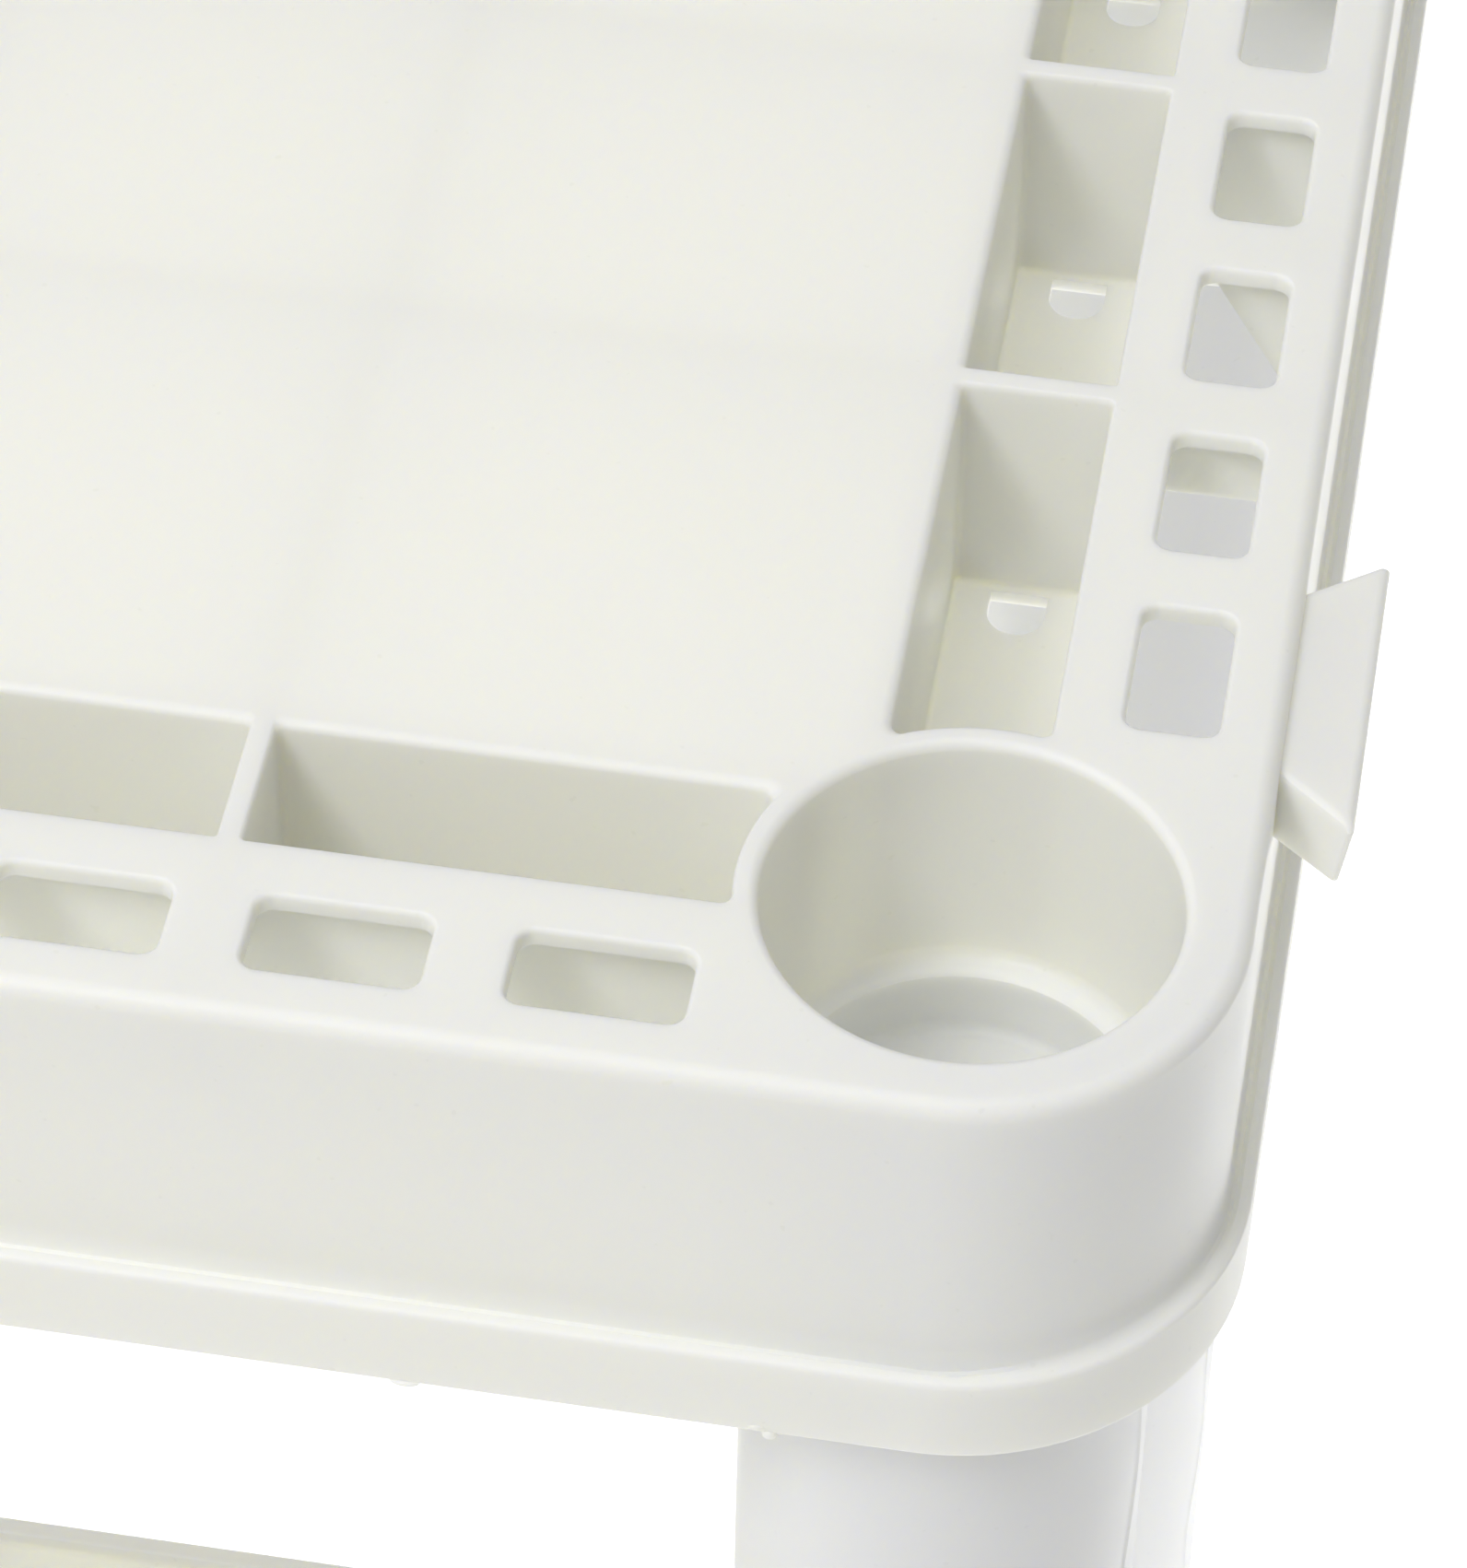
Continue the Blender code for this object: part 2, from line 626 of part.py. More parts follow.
def tread(corner, look):
    """Rubber tread, crowned across its width."""
    inner = WHEEL_R - TREAD_T
    profile = [
        (inner, -TYRE_HALF_W),
        (WHEEL_R - 0.0035, -TYRE_HALF_W),
        (WHEEL_R - 0.0008, -TYRE_HALF_W + 0.003),
        (WHEEL_R, 0.0),
        (WHEEL_R - 0.0008, TYRE_HALF_W - 0.003),
        (WHEEL_R - 0.0035, TYRE_HALF_W),
        (inner, TYRE_HALF_W),
    ]
    return across(f"tread_{corner}", profile, look, WHEEL_STEPS, hollow=True)


def brake_pedal(corner, look):
    """Foot pedal over the trailing side of the wheel, with its own cross pin moulded in."""
    lever = bmesh.new()
    half = FORK_IN - 0.0008
    side = [
        (-0.0045, -0.0025),
        (-0.0015, -0.0065),
        (0.0020, -0.0075),
        (0.0070, -0.0045),
        (0.0340, -0.0125),
        (0.0360, -0.0100),
        (0.0345, -0.0075),
        (0.0090, 0.0035),
        (0.0020, 0.0050),
        (-0.0040, 0.0030),
    ]
    add_loft(lever, extruded(side, -half, half, "Y"))
    made = finished(f"brake_pedal_{corner}", lever, look)
    ends = [(PEDAL_PIN_R, -0.0172), (PEDAL_PIN_R, 0.0172)]
    pin = across(f"pedal_pin_{corner}", ends, look, PIN_STEPS, (0.0, 0.0))
    pin.hide_render = True
    pin.display_type = "WIRE"
    pin.parent = made
    boolean(made, pin, "UNION")
    made.location = (PEDAL_PIVOT[0], 0.0, PEDAL_PIVOT[1])
    return made


def caster(corner, sx, sy, looks):
    """One stem caster, on an empty that stands on the swivel axis; its wheel trails towards -X."""
    swivel = bpy.data.objects.new(f"swivel_axis_{corner}", None)
    bpy.context.scene.collection.objects.link(swivel)
    swivel.location = (sx * LEG_X, sy * LEG_Y, 0.0)
    swivel.rotation_euler.z = math.pi
    pieces = [
        fork(corner, looks["zinc"]),
        axle(corner, looks["zinc"]),
        axle_nut(corner, looks["zinc"]),
        hub(corner, looks["hub"]),
        tread(corner, looks["rubber"]),
    ]
    if corner in BRAKED:
        pieces.append(brake_pedal(corner, looks["pedal"]))
    for piece in pieces:
        piece.parent = swivel
    for tool_name in ("crown_disc", "wheel_gap", "pin_holes"):
        bpy.data.objects[f"{tool_name}_{corner}"].parent = swivel


# ---- the cart --------------------------------------------------------------------------------
def clear_scene():
    for old in list(bpy.data.objects):
        bpy.data.objects.remove(old, do_unlink=True)


def build():
    clear_scene()
    shelf_look = material("shelf_plastic", (0.83, 0.83, 0.79), 0.42)
    leg_look = material("leg_plastic", (0.84, 0.85, 0.81), 0.45)
    socket_look = material("socket_plastic", (0.10, 0.10, 0.11), 0.55)
    looks = {
        "zinc": material("zinc_plate", (0.62, 0.63, 0.64), 0.32, 1.0),
        "hub": material("hub_plastic", (0.70, 0.70, 0.68), 0.45),
        "rubber": material("grey_rubber", (0.20, 0.20, 0.21), 0.75),
        "pedal": material("pedal_plastic", (0.12, 0.12, 0.13), 0.50),
    }
    top_shelf(shelf_look)
    lower_shelf(shelf_look)
    for corner, (sx, sy) in CORNERS.items():
        x, y = sx * LEG_X, sy * LEG_Y
        stand(leg(corner, leg_look), x, y)
        stand(stem_socket(corner, socket_look), x, y)
        stand(stem(corner, looks["zinc"]), x, y)
        caster(corner, sx, sy, looks)


build()
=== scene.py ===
"""Looks for the rolling work cart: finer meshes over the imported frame, materials, light, camera."""

import math
from typing import NamedTuple

import bmesh
import bpy
from mathutils import Matrix, Vector


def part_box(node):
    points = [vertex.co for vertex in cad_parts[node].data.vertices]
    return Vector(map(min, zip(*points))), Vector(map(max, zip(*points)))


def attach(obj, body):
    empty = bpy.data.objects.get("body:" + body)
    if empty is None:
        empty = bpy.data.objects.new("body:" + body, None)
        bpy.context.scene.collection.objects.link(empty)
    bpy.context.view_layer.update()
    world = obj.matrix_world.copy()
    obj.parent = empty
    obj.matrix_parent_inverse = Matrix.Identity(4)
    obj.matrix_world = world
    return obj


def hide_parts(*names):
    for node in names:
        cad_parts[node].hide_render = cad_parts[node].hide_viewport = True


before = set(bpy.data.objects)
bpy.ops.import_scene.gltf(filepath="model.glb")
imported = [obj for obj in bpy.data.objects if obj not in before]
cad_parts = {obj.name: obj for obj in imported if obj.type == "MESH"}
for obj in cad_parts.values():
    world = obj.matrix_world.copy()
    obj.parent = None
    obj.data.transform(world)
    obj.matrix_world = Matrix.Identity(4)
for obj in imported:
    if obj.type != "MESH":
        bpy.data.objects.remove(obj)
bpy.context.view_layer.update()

# ---- the frame's own measures ----
CORNERS = ("front_left", "front_right", "rear_left", "rear_right")


def node_middle(node):
    low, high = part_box(node)
    return (low + high) / 2


TOP_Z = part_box("top_shelf")[1].z
LEG = {corner: node_middle(f"leg_{corner}") for corner in CORNERS}
LEG_X, LEG_Y = LEG["rear_right"].x, LEG["rear_right"].y
BAND_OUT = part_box("top_shelf")[1].y - LEG_Y
HOOK_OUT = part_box("top_shelf")[1].x - LEG_X
SHELF_DEPTH = TOP_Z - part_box("top_shelf")[0].z
LEG_FOOT, LEG_HEAD = (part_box("leg_front_right")[i].z for i in (0, 1))
LEG_OUT_R = (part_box("leg_front_right")[1].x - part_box("leg_front_right")[0].x) / 2

# ---- shapes that the frame's boxes don't give, as in the CAD ----
class Side(NamedTuple):
    """One kind of side of the top: its row of bins, and its row of tool slots outside them."""

    half_length: float
    bins: int
    bin_pitch: float
    slots: int
    first_slot: float


LONG_SIDE = Side(LEG_X, bins=6, bin_pitch=0.09875, slots=12, first_slot=0.0648)
SHORT_SIDE = Side(LEG_Y, bins=3, bin_pitch=0.0982, slots=6, first_slot=0.0667)
CUP_BORE_R = 0.040
PLATE_T = 0.004
WALL_T = 0.004
WALL_OUT = 0.053
LEDGE_DROP = 0.073
BIN_IN = 0.0240
BIN_OUT = 0.0098
BIN_DEPTH = 0.055
BIN_WALL = 0.003
DIVIDER_T = 0.0035
CUP_OUT_R = 0.0442
CUP_SHOULDER = 0.058
WELL_R = 0.0352
WELL_DEPTH = 0.076
SLOT_OUT = 0.0314
SLOT_HALF_L = 0.018
SLOT_HALF_W = 0.0103
SLOT_R = 0.0045
DRAIN_R = 0.006
DRAIN_FROM_WALL = 0.0032
HOOK_FOOT = 0.022
HOOK_TOP = 0.004
HOOK_ROOT_HALF = 0.0245
HOOK_TIP_HALF = 0.0375
HOOK_FROM_CUP = 0.0715
HOOK_DRAFT = 0.0020  # how far the outer face leans in towards its foot
HOOK_SLOPE = 0.06
WEB_DEPTH = 0.0238
DEEP_WEB_DEPTH = 0.0545
GUSSET_FROM = 0.0202
GUSSET_DEPTH = 0.0508
BEAM_HALF_T = 0.002
LEG_IN_R = 0.0380
SLEEVE_IN_R = LEG_OUT_R + 0.0003
SPIGOT_R = LEG_IN_R - 0.0003
SHOULDER_UNDER = 0.063
ROUND_STEPS = 96  # points round cups, leg sockets and hubs
HEX_STEPS = 48  # points round the bolts and nuts


# ---- mesh helpers ----
def finished(name, mesh_data, smooth_deg=32.0):
    bmesh.ops.remove_doubles(mesh_data, verts=mesh_data.verts, dist=1e-6)
    bmesh.ops.recalc_face_normals(mesh_data, faces=mesh_data.faces)
    mesh = bpy.data.meshes.new(name)
    mesh_data.to_mesh(mesh)
    mesh_data.free()
    made = bpy.data.objects.new(name, mesh)
    bpy.context.scene.collection.objects.link(made)
    smooth(made, smooth_deg)
    return made


def smooth(piece, degrees):
    piece.data.shade_smooth()
    piece.data.set_sharp_from_angle(angle=math.radians(degrees))


def add_loft(mesh_data, rings, closed=False):
    """Joins rings of equally many points into a skin: capped at both ends, or closed end to end."""
    rows = [[mesh_data.verts.new(point) for point in ring] for ring in rings]
    count = len(rows[0])
    pairs = list(zip(rows, rows[1:]))
    if closed:
        pairs.append((rows[-1], rows[0]))
    else:
        mesh_data.faces.new(rows[0][::-1])
        mesh_data.faces.new(rows[-1])
    for lower, upper in pairs:
        for i in range(count):
            j = (i + 1) % count
            mesh_data.faces.new((lower[i], lower[j], upper[j], upper[i]))


def circle(radius, z, centre=(0.0, 0.0), steps=64):
    turns = [math.tau * i / steps for i in range(steps)]
    return [(centre[0] + radius * math.cos(a), centre[1] + radius * math.sin(a), z) for a in turns]


def turned(mesh_data, profile, centre=(0.0, 0.0), steps=64, hollow=False):
    add_loft(mesh_data, [circle(r, z, centre, steps) for r, z in profile], closed=hollow)


def corner_arc(centre, radius, start_deg, end_deg, steps=4):
    """Points of an arc in a profile's plane, for fillets."""
    turns = [math.radians(start_deg + (end_deg - start_deg) * i / steps) for i in range(steps + 1)]
    return [(centre[0] + radius * math.cos(a), centre[1] + radius * math.sin(a)) for a in turns]


def rounded_rectangle(half_x, half_y, radius, steps):
    points = []
    for quarter, (sx, sy) in enumerate(((1, 1), (-1, 1), (-1, -1), (1, -1))):
        middle = (sx * (half_x - radius), sy * (half_y - radius))
        points += corner_arc(middle, radius, 90 * quarter, 90 * quarter + 90, steps)
    return points


def rounded_outline(corners, steps=4):
    """Rounds an anticlockwise outline of (x, y, corner radius); points with no radius stay."""
    made = []
    count = len(corners)
    for i, (x, y, radius) in enumerate(corners):
        here = Vector((x, y))
        if not radius:
            made.append((x, y))
            continue
        back = (Vector(corners[i - 1][:2]) - here).normalized()
        on = (Vector(corners[(i + 1) % count][:2]) - here).normalized()
        bend = back.angle(on)
        middle = here + (back + on).normalized() * (radius / math.sin(bend / 2))
        first = here + back * (radius / math.tan(bend / 2)) - middle
        last = here + on * (radius / math.tan(bend / 2)) - middle
        turn = first.angle_signed(last)
        for k in range(steps + 1):
            made.append(tuple(middle + Matrix.Rotation(-turn * k / steps, 2) @ first))
    return made


def offset_outline(outline, distance):
    """Pushes an anticlockwise outline outwards."""
    made = []
    for i, point in enumerate(outline):
        before = (Vector(point) - Vector(outline[i - 1])).normalized()
        after = (Vector(outline[(i + 1) % len(outline)]) - Vector(point)).normalized()
        along = (before + after).normalized()
        normal = Vector((along.y, -along.x))
        push = normal * (distance / max(0.5, normal.dot(Vector((before.y, -before.x)))))
        made.append((point[0] + push.x, point[1] + push.y))
    return made


def pocket_levels(floor_z, edge, edge_depth, floor_r, draft):
    """The levels of a pocket's cutter as (inset, z): a filleted floor, drafted walls and a
    rounded mouth that is full width at the top."""
    quarter = [math.pi / 2 * i / 4 for i in range(5)]
    foot = edge + draft
    levels = [
        (foot + floor_r * (1 - math.sin(a)), floor_z + floor_r * (1 - math.cos(a)))
        for a in quarter
    ]
    levels += [(edge * math.cos(a), TOP_Z - edge_depth * (1 - math.sin(a))) for a in quarter]
    levels[-1] = (0.0, TOP_Z + 1e-5)
    levels.append((-edge * 0.6, TOP_Z + 0.003))
    return levels


def add_pocket(mesh_data, matrix, rings, drain):
    """A pocket's cutter with a hole through its floor; drain is the hole's outline."""
    rows = [[mesh_data.verts.new(matrix @ Vector(point)) for point in ring] for ring in rings]
    floor_z = rings[0][0][2]
    mouth = [mesh_data.verts.new(matrix @ Vector((x, y, floor_z))) for x, y in drain]
    foot = [mesh_data.verts.new(matrix @ Vector((x, y, floor_z - 0.010))) for x, y in drain]
    for lower, upper in [*zip(rows, rows[1:]), (foot, mouth)]:
        for i in range(len(lower)):
            j = (i + 1) % len(lower)
            mesh_data.faces.new((lower[i], lower[j], upper[j], upper[i]))
    mesh_data.faces.new(rows[-1])
    mesh_data.faces.new(foot[::-1])
    rims = []
    for loop in (rows[0], mouth):
        rims += [mesh_data.edges.get((loop[i - 1], loop[i])) for i in range(len(loop))]
    bmesh.ops.triangle_fill(mesh_data, use_beauty=True, edges=rims)


def boolean(target, mesh_data, operation):
    """Joins to or cuts from a piece at once, and removes the tool."""
    tool = finished("tool", mesh_data)
    modifier = target.modifiers.new("boolean", "BOOLEAN")
    modifier.operation = operation
    modifier.object = tool
    apply_modifiers(target)
    bpy.data.objects.remove(tool)


def apply_modifiers(piece):
    bpy.context.view_layer.update()
    evaluated = piece.evaluated_get(bpy.context.evaluated_depsgraph_get())
    mesh = bpy.data.meshes.new_from_object(evaluated)
    piece.modifiers.clear()
    piece.data = mesh


def claim(piece, body, node):
    """Says which body a piece rides on, which CAD node it replaces."""
    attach(piece, body)
    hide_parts(node)


def placed(matrix, rings):
    return [[matrix @ Vector(point) for point in ring] for ring in rings]


# ---- top shelf ----
def below_top(drop):
    return TOP_Z - drop


def side_frames():
    """The four sides as (matrix, side): local +X runs along the side and -Y points outwards."""
    places = (
        (0.0, (0, -LEG_Y, 0), LONG_SIDE),
        (math.pi, (0, LEG_Y, 0), LONG_SIDE),
        (math.pi / 2, (LEG_X, 0, 0), SHORT_SIDE),
        (-math.pi / 2, (-LEG_X, 0, 0), SHORT_SIDE),
    )
    return [
        (Matrix.Translation(middle) @ Matrix.Rotation(turn, 4, "Z"), side)
        for turn, middle, side in places
    ]


def divider_places(side):
    return [side.bin_pitch * (i - (side.bins - 2) / 2) for i in range(side.bins - 1)]


def slot_places(side):
    """Tool slots, evenly spread between the two that are nearest the cups."""
    last = side.half_length - side.first_slot
    return [last * (2 * i / (side.slots - 1) - 1) for i in range(side.slots)]


def bin_end(face, direction, half_length, inset, deck_inset):
    """One end of a bin as (x, y, corner radius): a divider's face, or the round wall of a cup."""
    outer, inner = inset - BIN_OUT, BIN_IN - deck_inset
    if face is not None:
        x = face - direction * inset
        return [(x, outer, 0.0011), (x, inner, 0.0016)]
    radius = CUP_OUT_R + inset
    low, high = math.asin(outer / radius), math.asin(inner / radius)
    # The points next to the corners stay clear of them, so that the corners can be rounded.
    shares = [0.0, *(0.17 + 0.66 * i / 10 for i in range(11)), 1.0]
    points = []
    for share in shares:
        a = low + (high - low) * share
        x = direction * (half_length - radius * math.cos(a))
        points.append((x, radius * math.sin(a), 0.0026 if share in (0.0, 1.0) else 0.0))
    return points


def bins(side):
    """Each bin's rings, with a softer mouth on the deck's side, and its drain hole's outline."""
    dividers = divider_places(side)
    lefts = [None, *(x + DIVIDER_T / 2 for x in dividers)]
    rights = [*(x - DIVIDER_T / 2 for x in dividers), None]
    edge = 0.0008
    for left, right in zip(lefts, rights):
        rings = []
        for inset, z in pocket_levels(below_top(BIN_DEPTH), edge, 0.0018, 0.0015, 0.0006):
            ends = (side.half_length, inset, inset + 2.0 * min(inset, edge))
            outline = bin_end(right, 1, *ends) + bin_end(left, -1, *ends)[::-1]
            rings.append([(x, y, z) for x, y in rounded_outline(outline)])
        flat = (side.half_length - CUP_OUT_R if right is None else right) - DRAIN_FROM_WALL
        middle = (flat - DRAIN_R, (BIN_IN - BIN_OUT) / 2)
        drain = corner_arc(middle, DRAIN_R, 90, 270, 16)
        drain += [(flat, middle[1] - DRAIN_R), (flat, middle[1] + DRAIN_R)]
        yield rings, drain


def shelf_profile():
    """The shell's section as (outwards from the leg axes, drop below the top), inside first.
    A third number is how much deeper the point lies along the straight sides, for the groove."""
    inside, band_inside = WALL_OUT - WALL_T, BAND_OUT - WALL_T
    edge, ledge_edge = 0.0038, 0.0013
    section = [(inside, PLATE_T), (inside, LEDGE_DROP - 0.004), (band_inside, LEDGE_DROP + 0.004)]
    section += [(band_inside, SHELF_DEPTH - 0.0008), (band_inside + 0.0008, SHELF_DEPTH)]
    section += [(BAND_OUT - 0.0012, SHELF_DEPTH), (BAND_OUT - 0.0004, SHELF_DEPTH - 0.0004)]
    section += [(BAND_OUT, SHELF_DEPTH - 0.0012)]
    middle = (BAND_OUT - ledge_edge, LEDGE_DROP + 0.0004 + ledge_edge)
    section += [(x, 2 * middle[1] - y) for x, y in corner_arc(middle, ledge_edge, 0, 90)]
    # The ledge runs in to a shallow groove at the foot of the wall, then up a soft fillet.
    section += [(WALL_OUT + 0.0026, LEDGE_DROP + 0.0003), (WALL_OUT + 0.0016, LEDGE_DROP, 0.0015)]
    section += [(WALL_OUT + 0.0008, LEDGE_DROP - 0.0006, 0.0017)]
    section += [(WALL_OUT + 0.0005, LEDGE_DROP - 0.0012, 0.0007)]
    section += [(WALL_OUT + 0.0002, LEDGE_DROP - 0.0026), (WALL_OUT, LEDGE_DROP - 0.0045)]
    middle = (WALL_OUT - edge, edge)
    section += [(x, 2 * middle[1] - y) for x, y in corner_arc(middle, edge, 0, 90, 7)]
    return section


def top_shelf():
    shell = bmesh.new()
    rings = []
    for out, drop, *groove in shelf_profile():
        ring = []
        for x, y in rounded_rectangle(LEG_X + out, LEG_Y + out, out, 24):
            # At a corner's two ends the sides are straight and the groove is at its full depth.
            turn = math.atan2(max(0.0, abs(y) - LEG_Y), max(0.0, abs(x) - LEG_X))
            fade = abs(math.cos(2 * turn)) ** 6
            ring.append((x, y, below_top(drop + (groove[0] * fade if groove else 0.0))))
        rings.append(ring)
    add_loft(shell, rings)
    shelf = finished("top_shelf_moulding", shell)

    for kind in (LONG_SIDE, SHORT_SIDE):
        troughs = bmesh.new()
        for matrix, side in side_frames():
            if side is kind:
                add_trough(troughs, matrix, side)
        boolean(shelf, troughs, "UNION")
    cups, webs, hollows, sockets = (bmesh.new() for _ in range(4))
    for matrix, side in side_frames():
        add_rim_webs(webs, matrix, side)
        for rings, drain in bins(side):
            add_pocket(hollows, matrix, rings, drain)
        for x in slot_places(side):
            rings = []
            for inset, z in pocket_levels(below_top(0.012), 0.0011, 0.0014, 0.0002, 0.0002):
                sides = (SLOT_HALF_L - inset, SLOT_HALF_W - inset, SLOT_R - inset)
                outline = rounded_rectangle(*sides, 6)
                rings.append([(x + px, py - SLOT_OUT, z) for px, py in outline])
            add_loft(hollows, placed(matrix, rings))
    for corner in CORNERS:
        centre = LEG[corner].xy
        cup = [(CUP_OUT_R, below_top(SHELF_DEPTH - 0.004)), (CUP_OUT_R, below_top(0.002))]
        turned(cups, cup, centre, ROUND_STEPS)
        turned(hollows, cup_profile(), centre, ROUND_STEPS)
        socket = [
            (SLEEVE_IN_R, below_top(SHELF_DEPTH)),
            (SLEEVE_IN_R, below_top(SHOULDER_UNDER)),
            (SPIGOT_R, below_top(SHOULDER_UNDER)),
            (SPIGOT_R, below_top(WELL_DEPTH + 0.003)),
        ]
        turned(sockets, socket, centre, ROUND_STEPS)
    boolean(shelf, cups, "UNION")
    boolean(shelf, webs, "UNION")
    for beams in deck_beams():
        boolean(shelf, beams, "UNION")
    boolean(shelf, hook_blocks(), "UNION")
    boolean(shelf, flash_nibs(), "UNION")
    boolean(shelf, hollows, "DIFFERENCE")
    boolean(shelf, sockets, "DIFFERENCE")
    smooth(shelf, 32)
    weighted_normals(shelf)
    return shelf


def weighted_normals(piece):
    modifier = piece.modifiers.new("weighted_normals", "WEIGHTED_NORMAL")
    modifier.keep_sharp = True
    modifier.weight = 80


def cup_profile():
    """The cup holder's cutter: a narrow well, a filleted ledge, the bore and its rounded mouth."""
    profile = [(WELL_R - 0.003, below_top(WELL_DEPTH))]
    profile += corner_arc((WELL_R - 0.003, below_top(WELL_DEPTH - 0.003)), 0.003, -90, 0)
    ledge = below_top(CUP_SHOULDER + 0.002)
    profile += [(WELL_R, ledge - 0.0008), (WELL_R + 0.0008, ledge)]
    profile += corner_arc((CUP_BORE_R - 0.0032, ledge + 0.0036), 0.0032, -80, 0)
    edge = 0.0022
    for i in range(6):
        a = math.pi / 2 * i / 5
        z = TOP_Z - edge + (edge + 1e-5) * math.sin(a)
        profile.append((CUP_BORE_R + edge * (1 - math.cos(a)), z))
    profile.append((CUP_BORE_R + edge * 1.6, TOP_Z + 0.003))
    return profile


def add_trough(mesh_data, matrix, side):
    """The block that a row of bins is hollowed out of."""
    reach = side.half_length
    ring = [
        (-reach, -BIN_OUT - BIN_WALL),
        (reach, -BIN_OUT - BIN_WALL),
        (reach, BIN_IN + BIN_WALL),
        (-reach, BIN_IN + BIN_WALL),
    ]
    levels = (below_top(BIN_DEPTH + BIN_WALL), below_top(0.002))
    add_loft(mesh_data, placed(matrix, [[(x, y, z) for x, y in ring] for z in levels]))


def add_rim_webs(mesh_data, matrix, side):
    """Webs between the bins' outer wall and the skirt; the short sides add a slanted gusset."""
    near, far = -BIN_OUT - BIN_WALL + 0.001, -WALL_OUT + WALL_T - 0.001
    half, high = 0.0015, below_top(0.002)
    short = side is SHORT_SIDE
    for i, x in enumerate(divider_places(side)):
        low = below_top(DEEP_WEB_DEPTH if short and i % 2 else WEB_DEPTH)
        box = [(x - half, far), (x + half, far), (x + half, near), (x - half, near)]
        add_loft(mesh_data, placed(matrix, [[(px, py, z) for px, py in box] for z in (low, high)]))
    if short:
        shape = [(-GUSSET_FROM, high), (far, high), (far, below_top(GUSSET_DEPTH))]
        add_loft(mesh_data, placed(matrix, [[(x, y, z) for y, z in shape] for x in (-half, half)]))


def deck_beams():
    """Stiffening ribs under the deck, lengthways and crossways."""
    along, across = bmesh.new(), bmesh.new()
    reach_x, reach_y = LEG_X - BIN_IN - BIN_WALL + 0.001, LEG_Y - BIN_IN - BIN_WALL + 0.001
    foot, head = below_top(0.035), below_top(0.002)
    for y in divider_places(SHORT_SIDE):
        add_box(along, (-reach_x, y - BEAM_HALF_T, foot), (reach_x, y + BEAM_HALF_T, head))
    foot, head = below_top(0.030), below_top(0.0026)
    for x in divider_places(LONG_SIDE):
        add_box(across, (x - BEAM_HALF_T, -reach_y, foot), (x + BEAM_HALF_T, reach_y, head))
    return along, across


def add_box(mesh_data, low, high):
    corners = [(low[0], low[1]), (high[0], low[1]), (high[0], high[1]), (low[0], high[1])]
    add_loft(mesh_data, [[(x, y, z) for x, y in corners] for z in (low[2], high[2])])


def hook_blocks():
    """A dovetail hook on each end: the outer face leans in, the top slopes, the tips are sharp."""
    blocks = bmesh.new()
    # Each step is (drop, share of the draft, inset, share of the top's slope).
    steps = (
        (HOOK_FOOT, 1.0, 0.0004, 0.0),
        (HOOK_FOOT - 0.0004, 0.98, 0.0, 0.0),
        (HOOK_TOP + 0.0016, 0.0, 0.0, 1.0),
        (HOOK_TOP + 0.0006, 0.0, 0.0004, 1.0),
        (HOOK_TOP + 0.0001, 0.0, 0.0011, 1.0),
        (HOOK_TOP, 0.0, 0.0021, 1.0),
    )
    for side in (-1, 1):
        middle = -side * (LEG_Y - HOOK_FROM_CUP)
        rings = []
        for drop, draft, inset, slope in steps:
            out = HOOK_OUT - HOOK_DRAFT * draft
            flare = (HOOK_TIP_HALF - HOOK_ROOT_HALF) / (HOOK_OUT - WALL_OUT)
            root = HOOK_ROOT_HALF - inset * math.hypot(1, flare)
            half = root + flare * (out - inset - WALL_OUT)
            outline = rounded_outline(
                [
                    (out - inset, -half, 0.0009),
                    (out - inset, half, 0.0009),
                    (WALL_OUT - 0.001, root, 0.0),
                    (WALL_OUT - 0.001, -root, 0.0),
                ]
            )
            ring = []
            for x, y in outline:
                fall = HOOK_SLOPE * slope * (x - WALL_OUT)
                ring.append((side * (LEG_X + x), middle + y, below_top(drop + fall)))
            rings.append(ring)
        add_loft(blocks, rings)
    return blocks


def flash_nibs():
    """Small moulding flash left along the foot of the front band, from the right cup leftwards."""
    nibs = bmesh.new()
    for along, drop, length, height in (
        (-0.0298, 0.0932, 0.0020, 0.0009),
        (-0.0273, 0.0952, 0.0016, 0.0011),
        (-0.0985, 0.0948, 0.0030, 0.0006),
        (-0.2140, 0.0950, 0.0022, 0.0007),
    ):
        place = Matrix.Translation((LEG_X + along, -LEG_Y - BAND_OUT + 0.0006, below_top(drop)))
        shape = Matrix.Diagonal((length, 0.0012, height, 1.0))
        bmesh.ops.create_icosphere(nibs, subdivisions=3, radius=1.0, matrix=place @ shape)
    return nibs


# ---- legs ----
SEAM_TURN = math.radians(-14.0)
SEAM_SWAY = math.radians(2.6)
SEAM_WAVE = 0.085
SEAM_PROUD = 0.00035
# Across the seam, as distances from its middle and shares of its height.
SEAM_STEPS = ((-0.0030, 0.0), (-0.0009, -0.25), (-0.0004, 0.4))
SEAM_STEPS += ((0.0, 1.0), (0.0005, 0.15), (0.0030, 0.0))
OTHER_SEAM_PHASE = 2.0
RING_GAPS = 36  # steps between one seam and the other
LEG_LEVELS = 92  # steps along a leg, for the seams' sway


def seam_sway(z, phase):
    """How far the parting seam wanders round the leg at a height."""
    slow = math.sin(z * math.tau / SEAM_WAVE + phase)
    return SEAM_SWAY * (slow + 0.5 * math.sin(z * 31.0 + phase * 2))


